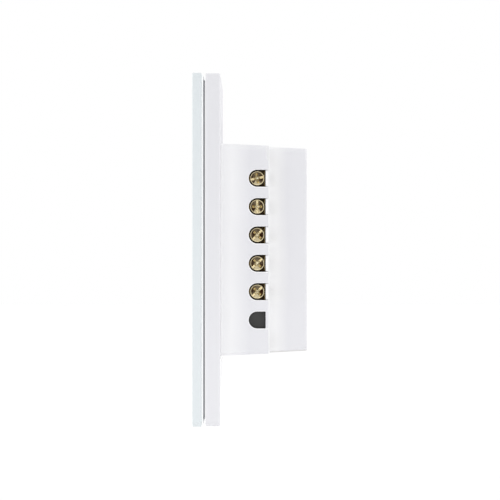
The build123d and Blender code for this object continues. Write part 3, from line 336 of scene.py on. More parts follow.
# Depths of the lip bands that get a painted highlight.
FRAME_LIP, HOUSING_LIP, COVER_LIP = 0.3 * MM, 0.7 * MM, 0.45 * MM
HOUSING_SHOULDER, COVER_SHOULDER = 1.6 * MM, 0.8 * MM
HOUSING_FADE = 3.5 * MM, 10.0 * MM
COVER_FADE = 3.0 * MM, 7.0 * MM
PLASTIC_INDEX = 1.52

screw_low, screw_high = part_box("terminal_screw_1")
screw_depth = middle("terminal_screw_1").y
screw_heights = [middle(f"terminal_screw_{i}").z for i in range(1, 6)]
pitch = screw_heights[0] - screw_heights[1]
housing_low, housing_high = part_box("terminal_housing")
seam = housing_high.y
shoulder_start = housing_high.z - SHOULDER_BAND
foot_end = housing_low.z + SHOULDER_BAND
frame_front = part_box("mounting_frame")[0].y
cover_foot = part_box("rear_cover")[0].z


def along_row(pot):
    """Height above the nearest terminal's centre, from wrapping the height by the pitch."""
    return pot.maths("WRAP", pot.minus("Z", screw_heights[0]), pitch / 2, -pitch / 2)


def window_rim_highlights(pot):
    """1 where the D's rim gets a painted highlight: a half circle towards the front, straight sides to the
    seam.
    """
    local = along_row(pot)
    forward = pot.maths("MINIMUM", pot.minus("Y", screw_depth), 0.0)
    rim = pot.between(pot.away(forward, local), WINDOW_RADIUS - RIM_OVERLAP, WINDOW_RADIUS + WINDOW_RIM)
    row = pot.between("Z", screw_heights[-1] - 1.5 * pitch, screw_heights[0] + pitch / 2)
    # The painted highlight is strongest on the lower rim, which faces the light from above.
    lower = pot.spread(local, -0.4 * WINDOW_RADIUS, 0.9 * WINDOW_RADIUS, 1.0, 0.35)
    return pot.times(rim, row, lower, pot.above("X", screw_low.x))


def foot_shade_line(pot):
    """1 on the cover's lowest line, for a painted shade line. The cover is drafted, so the line rises with the
    depth.
    """
    height = pot.minus("Z", pot.times(pot.minus("Y", seam), DRAFT))
    return pot.spread(height, cover_foot + FOOT_LINE[0], cover_foot + FOOT_LINE[1], 1.0, 0.0)


def painted_light_beside_terminals(pot):
    """1 on the cover's side behind each terminal: painted light that lifts the shade of the wire holes there.
    """
    near = pot.spread("Y", seam, seam + SHADED_DEPTH, 1.0, 0.0)
    level = pot.spread(pot.size(along_row(pot)), *SHADED_LEVEL, 1.0, 0.0)
    row = pot.between("Z", screw_heights[-1] - pitch / 2, screw_heights[0] + pitch / 2)
    return pot.times(near, level, row, pot.above("X", 0.0))


def polished_back(pot):
    """1 on the frame's back below the box, where its mould is polished and it mirrors the room."""
    below = pot.spread("Z", housing_low.z - MM, housing_low.z + MM, 1.0, 0.0)
    return pot.times(below, pot.above("Y", BACK_FACE))


def white_plastic(name, tones, lip, bounce_light=None, shoulder=None, bright=None, wear_or_shade=None, polished=None):
    """White ABS in two tones. lip holds the two depths of a band that gets a painted highlight.

    The argument after lip holds a lighter tone, painted light for light bounced off the face in front, and
    the depths where that starts to fade and ends. shoulder is the radius of the top corners. bright gives a
    mask of more painted light, the argument after it a mask of a painted shade line, and polished a mask of
    smoother places.
    """

    @finish(name, IOR=PLASTIC_INDEX)
    def paint(pot):
        skin = pot.effect(moulded_skin)
        # The lip band gets a painted highlight and a smaller bevel.
        thin = pot.between("Y", *lip)
        radius = RIM_RADIUS
        if shoulder:
            foot = pot.spread("Z", foot_end - MM, foot_end, 0.1, 1.0)
            radius = pot.spread("Z", shoulder_start - MM, shoulder_start, RIM_RADIUS, shoulder)
            radius = pot.times(foot, radius)
        radius = pot.times(pot.spread(thin, 0.0, 1.0, 1.0, LIP_RADIUS_SHARE), radius)
        corner = pot.effect(soft_corners, Radius=radius)
        colour = pot.mix(skin["Tone"], *tones)
        # Painted light: a lighter tone near the front, for light bounced off the face in front of it.
        if bounce_light:
            wander = pot.spread(pot.noise(60.0, 1.0), 0.0, 1.0, -BAND_WANDER, BAND_WANDER)
            colour = pot.mix(pot.spread(pot.plus("Y", wander), *bounce_light[1:]), bounce_light[0], colour)
        # Painted shade: the mask darkens a line towards warm grey.
        if wear_or_shade:
            colour = pot.mix(wear_or_shade(pot), colour, WHITE_FOOT_SHADE)
        # Painted highlights: edges and the lip band are mixed towards near white.
        light = pot.either(pot.times(corner["Edge"], EDGE_LIGHT), pot.times(thin, LIP_LIGHT))
        # More painted light where the mask given as bright is 1.
        if bright:
            light = pot.either(light, bright(pot))
        rough = pot.gloss(skin["Gloss"], 0.3, 0.42)
        if polished:
            rough = pot.times(rough, pot.spread(polished(pot), 0.0, 1.0, 1.0, POLISH))
        return pot.look((light, colour, WHITE_HIGHLIGHT), rough, (skin["Height"], 0.006), corner)

    return paint


frame_white = white_plastic("white_plastic_frame", FRAME_WHITES, (frame_front, frame_front + FRAME_LIP),
                            polished=polished_back)
housing_white = white_plastic("white_plastic_housing", BOX_WHITES, (0.0, HOUSING_LIP),
                              (HOUSING_BOUNCE_TONE, *HOUSING_FADE), HOUSING_SHOULDER, window_rim_highlights)
cover_white = white_plastic("white_plastic_cover", BOX_WHITES, (seam, seam + COVER_LIP),
                            (COVER_BOUNCE_TONE, *[seam + depth for depth in COVER_FADE]), COVER_SHOULDER,
                            painted_light_beside_terminals, foot_shade_line)
print("seam of the box at", in_mm([seam]), "mm")

# %% [markdown]
# ## Glass front
# Soda-lime glass is clear through its 3 mm and blue-green through its width, which volume absorption gives.
# Its rim is ground to a fine frost. A frosted rim scatters the light that the white ink throws into the
# glass, so from the side it looks pale and nearly opaque. The polished faces are clear, the rim is satin, and
# the small bevel between them is smoother than the rim. The bevel and the rim's front edge are painted paler,
# a painted highlight line. Light on its way to the ink goes straight through the clear faces, because bent
# light there takes very many samples to settle. The tape behind the glass gets a faint painted glow, an
# emission that stands for the light that glass guides to its edges.

# %% Glass, its ground rim, ink, tape and the milky film behind the rings
glass_low, glass_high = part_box("glass_panel")
CLEAR = (0.985, 1.0, 0.995, 1.0)
ABSORBED = "E2F3F4"
ABSORPTION = 9.0
# Strength of the tape's painted glow.
TAPE_GLOW = 0.2
DAYLIGHT_LOSS = (0.955, 0.967, 0.965, 1.0)
GLASS_INDEX = 1.52


@finish(Base_Color=CLEAR, IOR=GLASS_INDEX, Transmission_Weight=1.0)
def clear_glass(pot):
    """Polished faces with the faintest smears."""
    return {"Roughness": pot.spread(pot.noise(90.0), 0.3, 0.9, 0.0, 0.03),
            "Normal": pot.relief(30.0, 0.002, 1.0).outputs[0]}


@finish()
def ground_rim(pot):
    """Frosted rim: pale teal, with grinding-belt lines along the edge and a painted highlight on its front
    edge.
    """
    belt = pot.noise(5200.0, 3.0, (1.0, 1.0, 0.04))
    cloud = pot.times(pot.noise(45.0, shift=0.3), 0.5)
    corner = pot.effect(soft_corners, Radius=0.3 * MM)
    # Painted highlight along the rim's front edge.
    front_edge_highlight = pot.times(corner["Edge"], pot.below("Y", glass_low.y + MM), 0.8)
    colour = pot.mix(belt, "DBE2E5", "E1E7EA")
    colour = pot.mix(cloud, colour, "E2E6E8")
    return pot.look((front_edge_highlight, colour, "F8FBFB"), (belt, 0.36, 0.5), (belt, 0.004), corner)


@finish()
def polished_arris(pot):
    """Small bevel at each face, polished smoother than the rim and painted paler as a highlight line."""
    wave = pot.noise(700.0)
    return pot.look((wave, "ECF2F3", "F4F9FA"), (wave, 0.12, 0.24), (wave, 0.004))


@finish()
def white_ink(pot):
    """Screen-printed white, a hair thinner in places."""
    return pot.look((140.0, "F8F9FA", "FDFEFE", 3.0), (900.0, 0.42, 0.55), (4000.0, 0.004))


@finish(Specular_IOR_Level=0.3, Emission_Strength=TAPE_GLOW)
def foam_tape(pot):
    """Closed foam: small cells, each a shallow dent."""
    cells = pot.add("TexVoronoi", {"Vector": pot.place(), "Scale": 7000.0}).outputs["Distance"]
    tone = pot.mix(cells, "FCFDFD", "F0F1F2")
    rough = pot.spread(cells, 0.0, 0.7, 0.7, 0.9)
    # The emission in the foam's own tone is a painted glow; the tape is no lamp.
    return pot.look(tone, rough, (cells, 0.03), Emission_Color=tone)


@finish(Subsurface_Weight=0.2, Subsurface_Scale=0.5 * MM)
def milky_film(pot):
    """Milky film that spreads the light of the lamp behind it."""
    return pot.look((700.0, "D6DADC", "E0E3E4"), (2400.0, 0.35, 0.5), (6000.0, 0.006))


pane = Pot(clear_glass.node_tree)
bent_way = pane.tree.nodes["Principled BSDF"].outputs[0]
plain_way = pane.add("BsdfTransparent", {"Color": DAYLIGHT_LOSS}).outputs[0]
rays = pane.add("LightPath").outputs
passing = pane.either(rays["Is Shadow Ray"], rays["Is Diffuse Ray"])
body = pane.add("VolumeAbsorption", {"Color": ABSORBED, "Density": ABSORPTION}).outputs[0]
finish_end = pane.tree.nodes["Material Output"].inputs
pane.join(pane.add("MixShader", {0: passing, 1: bent_way, 2: plain_way}).outputs[0], finish_end["Surface"])
pane.join(body, finish_end["Volume"])
print("glass, mm", in_mm(glass_high - glass_low))

# %% [markdown]
# ## Brass of the terminals
# A terminal screw is turned from bar, slotted, and its cross is punched. So its head has rings round its axis
# and a rounded shoulder, which is painted dark as a painted shade. Its face has patches of brown patina, laid
# out as a painted dark reflection: thin in the lower half, thicker above and at both sides. The slot and the
# cross that a driver turns in are worn bright and painted brighter still as a highlight. The rings need each
# screw's own axis. The screws stand at an even pitch, so wrapping the height by that pitch gives every screw
# its own centre in one finish. Clamp plates and brackets are cut from rolled strip and carry straight lines
# instead. The clamp plates are painted dark brown, a painted shade for the dark cell behind each head.

# %% Turned and pressed brass
head_radius = (screw_high.y - screw_low.y) / 2
BRASS = "EEDBA8"
BRASS_PALE = "FCF1CE"
# Dark of the painted shade on the head's rounded shoulder.
BRASS_SHOULDER_SHADE = "302416"
BRASS_SHADE = "847450"
# Light tone of the painted highlight streaks in the cross.
BRASS_CROSS_HIGHLIGHT = "FAF1D0"
BRASS_BRIGHT = "F6E8BE"
# Brown of the patina and of the painted dark reflection on the face.
BRASS_PATINA_AND_SHADE = "2E1A0E"
RING_PITCH = 0.13 * MM
RAGGED = 0.09 * MM
FLAT_DEPTH = 0.16 * MM, 0.06 * MM
SLOT_DEPTH, CROSS_DEPTH, CROSS_END = 0.6 * MM, 0.95 * MM, 1.5 * MM
FLOOR_MATT = 0.4
face_start, face_end, shoulder_full = [share * head_radius for share in (0.82, 0.87, 0.95)]


def screw_patina_and_reflection(pot, local, depth, inside, flat):
    """Patchy brown patina and painted dark reflection on the face: thin below, thicker above and at the sides.
    """
    # Painted reflection: the lower half of the face is kept light, the top and both sides dark.
    rubbed = pot.spread(local, -0.25 * head_radius, 0.25 * head_radius, 0.5, 0.93)
    sideways = pot.minus(pot.size(depth), pot.times(pot.size(local), 0.6))
    cover = pot.either(rubbed, pot.spread(sideways, -0.15 * head_radius, 0.1 * head_radius))
    patches = pot.spread(pot.noise(620.0, 4.0, shift=0.2), 0.4, 0.62, 1.0, 0.9)
    return pot.times(inside, flat, cover, patches)


@finish()
def brass_turned(pot):
    """Lathe rings, painted shade on shoulder and face, patina, and a worn slot and cross with painted
    highlights.

    The two floors are partly matt, because a mirror there would show only the dark walls round it.
    """
    local = along_row(pot)
    depth = pot.minus("Y", screw_depth)
    radius = pot.away(local, depth)
    corner = pot.effect(soft_corners, Radius=0.14 * MM)
    ragged = pot.plus(radius, pot.spread(pot.noise(2600.0, 3.0), 0.0, 1.0, -RAGGED, RAGGED))
    inside = pot.spread(ragged, face_end, face_start)
    sunk = pot.minus(screw_high.x, "X")
    patina_and_reflection = screw_patina_and_reflection(pot, local, depth, inside, pot.spread(sunk, *FLAT_DEPTH))
    slot_floor = pot.between(sunk, SLOT_DEPTH, CROSS_DEPTH)
    cross_floor = pot.between(sunk, CROSS_DEPTH, CROSS_END)
    streaks = pot.noise(1700.0, 3.0, shift=0.6)
    # Streaks of painted shade and painted highlight on the cross floor.
    cross_tone = pot.mix(pot.spread(streaks, 0.4, 0.6), BRASS_SHADE, BRASS_CROSS_HIGHLIGHT)
    # The slot floor is worn bright and painted brighter still as a highlight.
    slot_tone = pot.mix(pot.spread(streaks, 0.35, 0.6), BRASS, BRASS_BRIGHT)
    tone = pot.mix(900.0, BRASS, BRASS_PALE, 3.0)
    # Painted shade on the rounded shoulder.
    tone = pot.mix(pot.spread(radius, face_end, shoulder_full), tone, BRASS_SHOULDER_SHADE)
    tone = pot.mix(pot.times(pot.effect(scuffs, Scale=6000.0)["Marks"], 0.5), tone, BRASS_BRIGHT)
    tone = pot.mix(pot.times(corner["Edge"], 0.5), tone, BRASS_BRIGHT)
    # Patina and painted dark reflection on the flat face.
    tone = pot.mix(patina_and_reflection, tone, BRASS_PATINA_AND_SHADE)
    tone = pot.mix(pot.times(cross_floor, inside), tone, cross_tone)
    rough = pot.plus(pot.gloss(1500.0, 0.2, 0.32), pot.times(patina_and_reflection, 0.25))
    metal = pot.minus(1.0, pot.times(pot.either(slot_floor, cross_floor), FLOOR_MATT))
    return pot.look((pot.times(slot_floor, inside), tone, slot_tone), rough,
                    (pot.waves(radius, RING_PITCH), 0.0025), corner, Metallic=metal)


@finish(Metallic=1.0)
def brass_clamp(pot):
    """Square plate painted dark brown as painted shade for its dark cell, with brass showing along its edges.
    """
    strip = pot.effect(rolled_lines)
    corner = pot.effect(soft_corners, Radius=0.18 * MM)
    wear_or_shade = pot.times(corner["Edge"], pot.spread(pot.noise(1100.0), 0.4, 0.6))
    # Painted shade: the plate's dark tone stands for the shade of the cell round it.
    tone = pot.mix(strip["Stain"], "1A150E", "382C1A")
    return pot.look((wear_or_shade, tone, "D6BA76"), (strip["Stain"], 0.34, 0.5), (strip["Lines"], 0.003), corner)


@finish(Metallic=1.0)
def brass_pressed(pot):
    """Rolled strip: straight lines, stains and a brighter sheared edge."""
    strip = pot.effect(rolled_lines)
    corner = pot.effect(soft_corners, Radius=0.08 * MM)
    wear_or_shade = pot.times(corner["Edge"], 0.7)
    tone = pot.mix(strip["Stain"], "BA9852", "D6B870")
    return pot.look((wear_or_shade, tone, BRASS_BRIGHT), (strip["Stain"], 0.24, 0.42), (strip["Lines"], 0.003), corner)


print("screws at", in_mm(screw_heights), "pitch", in_mm([pitch]))

# %% [markdown]
# ## Dark plastics and small steel
# The terminal block and the chips are black thermoset with a dull skin. The carrier behind the glass is a
# pale grey that stands in shade. Fasteners are zinc plated, with a faint blue and yellow cast, and the
# springs are drawn wire.

# %% Dark plastics, plated screws, spring wire, tin and solder


def moulding(name, tones, rough, edge, grain=6000.0, depth=0.015, radius=0.12):
    """Moulded plastic in two tones. rough is its lowest and highest roughness, edge a share and a tone."""

    @finish(name)
    def paint(pot):
        skin = pot.effect(moulded_skin, Grain=grain)
        corner = pot.effect(soft_corners, Radius=radius * MM)
        wear_or_shade = pot.times(corner["Edge"], edge[0])
        return pot.look((wear_or_shade, pot.mix(skin["Tone"], *tones), edge[1]), (skin["Gloss"], *rough),
                        (skin["Height"], depth), corner)

    return paint


@finish(Metallic=1.0)
def plated_steel(pot):
    """Zinc plate: a cold grey with yellow and blue patches, and rubbed edges."""
    corner = pot.effect(soft_corners, Radius=0.06 * MM)
    rubbed = pot.either(corner["Edge"], pot.effect(scuffs, Scale=7000.0)["Marks"])
    cast = pot.mix(500.0, "C4C7D0", "D0CBBA")
    return pot.look((rubbed, cast, "E8E8E6"), (1800.0, 0.22, 0.38, 3.0), (5000.0, 0.004), corner)


@finish(Metallic=1.0)
def spring_steel(pot):
    """Drawn steel wire with faint die marks."""
    marks = pot.noise(9000.0, 2.0, (1.0, 4.0, 1.0))
    return pot.look((800.0, "B8B8B6", "D6D6D2"), (3000.0, 0.2, 0.34), (marks, 0.003))


@finish(Metallic=1.0)
def shield_tin(pot):
    """Tin plate and tinned pins: bright, with dull clouds."""
    clouds = pot.noise(420.0, 4.0)
    return pot.look((clouds, "CACAC8", "E2E2DE"), (clouds, 0.22, 0.45), (2600.0, 0.006, 3.0))


@finish(Metallic=1.0)
def solder(pot):
    """Solder that set bright, with a frosty patch and brown flux at its foot."""
    frost = pot.noise(2200.0, 3.0)
    flux = pot.spread(pot.noise(900.0), 0.55, 0.75, 0.0, 0.5)
    metal = pot.mix(frost, "C4C6C8", "E6E7E8")
    return pot.look((flux, metal, "967646"), pot.spread(frost, 0.3, 0.7, 0.16, 0.42), (frost, 0.01))


GREY_EDGE = (0.25, "78787A")
carrier_grey = moulding("dark_plastic", ["C4C5C8", "CECFD2"], (0.5, 0.65), GREY_EDGE)
block_black = moulding("black_plastic", ["2C2C2B", "383836"], (0.45, 0.6), GREY_EDGE)
chip_black = moulding("chip_black", ["222223", "2E2E2F"], (0.55, 0.7), GREY_EDGE, 9000.0)
relay_case = moulding("relay_case", ["224A84", "2A5694"], (0.28, 0.42), (0.3, "6084B8"), 8000.0, 0.01, 0.1)
print("finishes so far", len(bpy.data.materials))

# %% [markdown]
# ## Circuit boards
# A board is glass cloth under solder mask. Copper tracks show through the mask as a slightly raised, lighter
# pattern. They come from the joints of a brick pattern, which run square and turn at right angles as routed
# tracks do. The touch board also has a tinned ring where each spring stands.

# %% Board finishes
spring_centres = [middle(f"touch_spring_{i}") for i in (1, 2, 3)]
spring_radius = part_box("touch_spring_1")[1].x - spring_centres[0].x
RING_SPAN = spring_radius - 0.9 * MM, spring_radius + 0.5 * MM
WEAVE_PITCH = 0.698132 * MM
EDGE_BAND = 0.02 * MM
CUT_CLOTH = "C4BA8C"
TINNED_RING = "D6D4CC"


@effect(Scale=170.0)
def board_pattern(pot, given):
    """Tracks from the joints of a brick pattern, and the weave of the cloth."""
    spot = pot.add("CombineXYZ", {0: "X", 1: "Z"}).outputs[0]
    sizes = {"Mortar Size": 0.05, "Mortar Smooth": 0.1, "Brick Width": 0.9, "Row Height": 0.5}
    bricks = pot.add("TexBrick", {"Vector": spot, "Scale": given["Scale"], **sizes}, offset=0.37, squash=1.4)
    kept = pot.spread(pot.noise(130.0, 1.0, shift=0.6), 0.44, 0.5)
    return {"Tracks": pot.times(bricks.outputs["Fac"], kept),
            "Weave": pot.times(pot.waves("X", WEAVE_PITCH), pot.waves("Z", WEAVE_PITCH))}


def circuit_board(name, node, mask, track, ring_spots=()):
    """Solder mask over cloth: raised tracks, tinned rings at the springs and bare cloth at the cut edge."""
    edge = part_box(node)[1]

    @finish(name)
    def paint(pot):
        pattern = pot.effect(board_pattern)
        thick_mask = (*[0.94 * level for level in shade(mask)[:3]], 1.0)
        tone = pot.mix(pot.times(pattern["Tracks"], 0.8), pot.mix(60.0, mask, thick_mask), track)
        ends = [pot.above(pot.size("X"), edge.x - EDGE_BAND), pot.above(pot.size("Z"), edge.z - EDGE_BAND)]
        tone = pot.mix(pot.either(*ends), tone, CUT_CLOTH)
        metal = 0.0
        if ring_spots:
            metal = pot.either(*[pot.between(pot.from_axis(spot), *RING_SPAN) for spot in ring_spots])
            tone = pot.mix(metal, tone, TINNED_RING)
        height = pot.plus(pattern["Tracks"], pot.times(pattern["Weave"], 0.15))
        return pot.look(tone, (500.0, 0.24, 0.4), (height, 0.02), Metallic=metal)

    return paint


white_board = circuit_board("white_board", "touch_board", "E2E5E3", "EEF0EE", spring_centres)
green_board = circuit_board("green_board", "power_board", "185C34", "2E804A")
print("spring feet at", [in_mm(centre) for centre in spring_centres])

# %% [markdown]
# ## Parts on the boards
# Each kind of part has its own two or three materials in one solid, so its finish tells them apart by place:
# the top of a can is bare aluminium and its side is sleeve, a resistor has paint bands between tinned leads,
# and a relay's magnet is copper wire between two bobbin flanges on an iron yoke.

# %% Finishes of capacitors, coils, relays and lamps
TINNED = "CECECA"
LID_SHARE, LID_DEPTH = 0.86, 0.5 * MM
STRIPE_SHARE, DASH_LIMIT, DASH_TURN = 0.75, 0.7 * MM, 1.2 * MM
CROSS_HALF = 0.12 * MM
BAND_HALF = 0.3 * MM
FUSE_BANDS = ((-2.4, "784624"), (-1.3, "1E1E1E"), (-0.2, "D6B034"), (2.2, "BE9E50"))
FUSE_BODY_HALF = 4.01 * MM
LEAD_REACH = 1.5 * MM
RESIN_FOOT = 0.6 * MM
CHOKE_FLANGE, CHOKE_WIRE = 1.2 * MM, 0.3 * MM
TAPE_WIDTH, TAPE_EDGE = 3.1 * MM, 0.12 * MM
COIL_INSET, COIL_RADIUS, COIL_START, COIL_LENGTH = 4.1 * MM, 4.15 * MM, 1.0 * MM, 8.0 * MM
COIL_FLANGE, COIL_WIRE = 0.6 * MM, 0.17 * MM
RELAY_FLOOR, POST_START = 1.21 * MM, 5.0 * MM
LAMP_WINDOW = 0.48 * MM


def can(name, node):
    """Sleeve with a pale dashed stripe, and an aluminium top with its safety cross."""
    centre, top = middle(node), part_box(node)[1]
    radius = top.x - centre.x

    @finish(name)
    def paint(pot):
        inner = pot.below(pot.from_axis(centre), radius * LID_SHARE)
        lid = pot.times(pot.above("Y", top.y - LID_DEPTH), inner)
        dashes = pot.above(pot.maths("PINGPONG", "Y", DASH_TURN), DASH_LIMIT)
        dashes = pot.plus(pot.times(dashes, 0.4), 0.5)
        stripe = pot.times(pot.above("X", centre.x + radius * STRIPE_SHARE), dashes)
        sleeve = pot.mix(stripe, pot.mix(300.0, "1E243A", "262C44"), "A8ACBA")
        arms = [pot.size(pot.minus(axis, at)) for axis, at in (("X", centre.x), ("Z", centre.z))]
        cut = pot.times(lid, pot.either(*[pot.below(arm, CROSS_HALF) for arm in arms]))
        height = pot.minus(pot.times(pot.noise(4000.0), 0.1), cut)
        return pot.look((lid, sleeve, "CED0D2"), (900.0, 0.28, 0.42), (height, 0.08), Metallic=lid)

    return paint


@finish()
def green_coating(pot):
    """Green body with four colour bands, and tinned leads at both ends."""
    along = pot.minus("Z", middle("fuse_resistor").z)
    colour = pot.mix(900.0, "4E805C", "5C8E68")
    for at, band in FUSE_BANDS:
        colour = pot.mix(pot.between(along, at * MM - BAND_HALF, at * MM + BAND_HALF), colour, band)
    lead = pot.above(pot.size(along), FUSE_BODY_HALF)
    return pot.look((lead, colour, TINNED), (1500.0, 0.3, 0.45), (2500.0, 0.02), Metallic=lead)


@finish()
def blue_coating(pot):
    """Dipped blue coating, thicker and smoother at the middle, over tinned leads."""
    lead = pot.below("Y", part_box("varistor")[0].y + LEAD_REACH)
    colour = pot.mix(400.0, "265496", "3062A8", 3.0)
    return pot.look((lead, colour, TINNED), (700.0, 0.25, 0.5), (1300.0, 0.05, 3.0), Metallic=lead)


@finish()
def film_box(pot):
    """Moulded box with the resin fill showing at its foot."""
    foot = pot.below("Y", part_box("film_capacitor")[0].y + RESIN_FOOT)
    colour = pot.mix(200.0, "C4AC42", "D0B84E")
    return pot.look((foot, colour, "968034"), (900.0, 0.38, 0.52), (6000.0, 0.015))


@finish()
def copper_wire(pot):
    """Ferrite drum with close copper turns between its flanges."""
    low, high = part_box("choke")
    wound = pot.between("Y", low.y + CHOKE_FLANGE, high.y - CHOKE_FLANGE)
    copper = pot.mix(900.0, "A85C34", "C47442")
    turns = pot.times(pot.waves("Y", CHOKE_WIRE), wound)
    metal = pot.times(wound, 0.9)
    return pot.look((wound, "3A3A3C", copper), (1500.0, 0.28, 0.5), (turns, 0.04), Metallic=metal)


@finish(Coat_Weight=0.3)
def winding_tape(pot):
    """Yellow tape with the edge of each overlap showing, over the swell of the wires."""
    laps = pot.maths("PINGPONG", pot.minus("Z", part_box("transformer_winding")[0].z), TAPE_WIDTH)
    edge = pot.below(laps, TAPE_EDGE)
    colour = pot.mix(300.0, "D6AC2C", "E2BC3E", 3.0)
    swell = pot.minus(pot.noise(900.0), edge)
    return pot.look((edge, colour, "B08622"), (500.0, 0.22, 0.4), (swell, 0.05))


@finish()
def ferrite(pot):
    """Sintered ferrite: dull, dark and slightly pitted."""
    pits = pot.spread(pot.noise(5000.0, 3.0), 0.6, 0.7)
    return pot.look((pits, "4A4A4D", "2E2E30"), (700.0, 0.5, 0.7), (pot.minus(1.0, pits), 0.04))


def magnet(name, node):
    """Iron yoke, and on it a coil of copper wire between two flanges."""
    low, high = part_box(node)
    axis = (low.x + COIL_INSET, 0.0, (low.z + high.z) / 2)
    start, end = low.y + COIL_START, low.y + COIL_START + COIL_LENGTH

    @finish(name)
    def paint(pot):
        around = pot.below(pot.from_axis(axis), COIL_RADIUS)
        coil = pot.times(around, pot.between("Y", start, end))
        wire = pot.times(coil, pot.between("Y", start + COIL_FLANGE, end - COIL_FLANGE))
        colour = pot.mix(coil, pot.mix(700.0, "A8A8A6", "C0C0BC", 3.0), "343436")
        turns = pot.times(pot.waves("Y", COIL_WIRE), wire)
        metal = pot.either(pot.minus(1.0, coil), wire)
        return pot.look((wire, colour, "B8683C"), (1500.0, 0.28, 0.42), (turns, 0.03), Metallic=metal)

    return paint


@finish(Metallic=1.0)
def soft_iron(pot):
    """Nickel-plated soft iron."""
    return pot.look((700.0, "B6B5B0", "CECDC7", 3.0), (1200.0, 0.24, 0.4, 3.0), (5000.0, 0.005))


@finish()
def relay_base(pot):
    """Black floor, with tinned pins below it and a brass contact post above it."""
    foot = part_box("power_board")[1].y
    metal = pot.either(pot.below("Y", foot), pot.above("Y", foot + RELAY_FLOOR))
    post = pot.above("Y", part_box("relay_1_base")[0].y + POST_START)
    black = pot.mix(300.0, "262628", "303032")
    bright = pot.mix(post, TINNED, "D4B270")
    return pot.look((metal, black, bright), (1500.0, 0.3, 0.5), (5000.0, 0.01), Metallic=metal)


@finish(Coat_Weight=0.5)
def led_resin(pot):
    """White lamp body round a yellow phosphor window."""
    window = pot.either(*[pot.below(pot.from_axis(spot), LAMP_WINDOW) for spot in spring_centres])
    body = pot.mix(900.0, "E8E8E4", "F2F2EE")
    return pot.look((window, body, "EED060"), (1500.0, 0.2, 0.34), (4000.0, 0.01))


finishes = {"input_capacitor": can("input_can", "input_capacitor"),
            "output_capacitor": can("output_can", "output_capacitor"),
            "fuse_resistor": green_coating, "varistor": blue_coating, "film_capacitor": film_box,
            "choke": copper_wire, "transformer_winding": winding_tape, "transformer_core": ferrite,
            "indicator_leds": led_resin}
for i in (1, 2, 3):
    relay = f"relay_{i}_"
    finishes |= {relay + "base": relay_base, relay + "cover": relay_case, relay + "armature": soft_iron,
                 relay + "magnet": magnet(f"relay_magnet_{i}", relay + "magnet")}
print("part finishes", len(finishes))

# %% [markdown]
# ## Give every CAD node its finish
# The shapes from the CAD model stay as they are. Only the material in each slot changes.

# %% Dress the CAD nodes
finishes |= {"glass_panel": clear_glass, "printed_back": white_ink, "adhesive_sheet": foam_tape,
             "diffuser_discs": milky_film, "panel_carrier": carrier_grey, "mounting_frame": frame_white,
             "terminal_housing": housing_white, "rear_cover": cover_white, "terminal_block": block_black,
             "terminal_brackets": brass_pressed,
             "touch_board": white_board, "power_board": green_board, "wifi_module_board": green_board,
             "wifi_shield_can": shield_tin, "header_pins": shield_tin}
finishes |= {f"{group}_screws": plated_steel for group in ("flange", "cover", "board")}
finishes |= dict.fromkeys(["header_socket", "header_strip", "transformer_bobbin", "touch_chip",
                           "bridge_rectifier", "converter_chip", "relay_drivers"], chip_black)
finishes |= {f"touch_spring_{i}": spring_steel for i in (1, 2, 3)}
for i in range(1, 6):
    finishes |= {f"clamp_plate_{i}": brass_clamp, f"terminal_screw_{i}": brass_turned}
for name, material in finishes.items():
    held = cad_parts[name].data.materials
    if not held:
        held.append(material)
    for index in range(len(held)):
        held[index] = material
print("nodes without a finish", sorted(set(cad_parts) - set(finishes)))

# %% [markdown]
# ## Surfaces worked out as grids
# New pieces are grids of points from a formula in two parameters. A closed grid is joined round its second
# parameter and closed at both ends with a fan, so that it has no holes and its faces look outward.

# %% Grid helpers
SHARP_ANGLE = math.radians(32.0)


def new_object(name, data):
    """Object in the scene that holds a mesh, a light or a camera."""
    thing = bpy.data.objects.new(name, data)
    bpy.context.scene.collection.objects.link(thing)
    return thing


def grid_mesh(points):
    """Points in a (rows, columns, 3) array, joined round the columns, with a point closing each end.

    A negative volume means that the faces look inwards, and then the columns are reversed.
    """
    step = np.roll(points, -1, axis=1) - points
    outward = points - points.mean((0, 1))
    rise = np.diff(outward, axis=0)
    if np.einsum("ijk,ijk->", np.cross(step[:-1], rise), outward[:-1]) < 0:
        points = points[:, ::-1]
    rows, columns, _ = points.shape
    ends = np.array([points[0].mean(0), points[-1].mean(0)])
    vertices = np.concatenate([points.reshape(-1, 3), ends])
    turn = np.arange(columns)
    following = (turn + 1) % columns
    row = np.arange(rows - 1)[:, None] * columns
    here, there = row + turn, row + following
    sides = np.stack([here, there, there + columns, here + columns], -1).reshape(-1, 4)
    last = (rows - 1) * columns
    first_fan = np.stack([np.full(columns, rows * columns), following, turn], -1)
    last_fan = np.stack([np.full(columns, rows * columns + 1), last + turn, last + following], -1)
    return vertices, [*sides.tolist(), *first_fan.tolist(), *last_fan.tolist()]


def make_piece(name, grids, materials, body, rows=None):
    """One mesh from closed grids, riding on a CAD body. rows gives each row of faces its material."""
    vertices, faces, start = [], [], 0
    for points in grids:
        spots, corners = grid_mesh(points)
        vertices.append(spots)
        faces += [[start + c for c in corner] for corner in corners]
        start += len(spots)
    mesh = bpy.data.meshes.new(name)
    mesh.from_pydata(np.concatenate(vertices).tolist(), [], faces)
    mesh.polygons.foreach_set("use_smooth", np.ones(len(mesh.polygons), bool))
    mesh.set_sharp_from_angle(angle=SHARP_ANGLE)
    for material in materials:
        mesh.materials.append(material)
    if rows:
        choice = np.zeros(len(mesh.polygons), int)
        count = grids[0].shape[1]
        choice[:len(rows) * count] = np.repeat(rows, count)
        mesh.polygons.foreach_set("material_index", choice)
    mesh.update()
    piece = new_object(name, mesh)
    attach(piece, body)
    print(name, len(mesh.polygons), "faces")
    return piece


print("grid helpers ready")

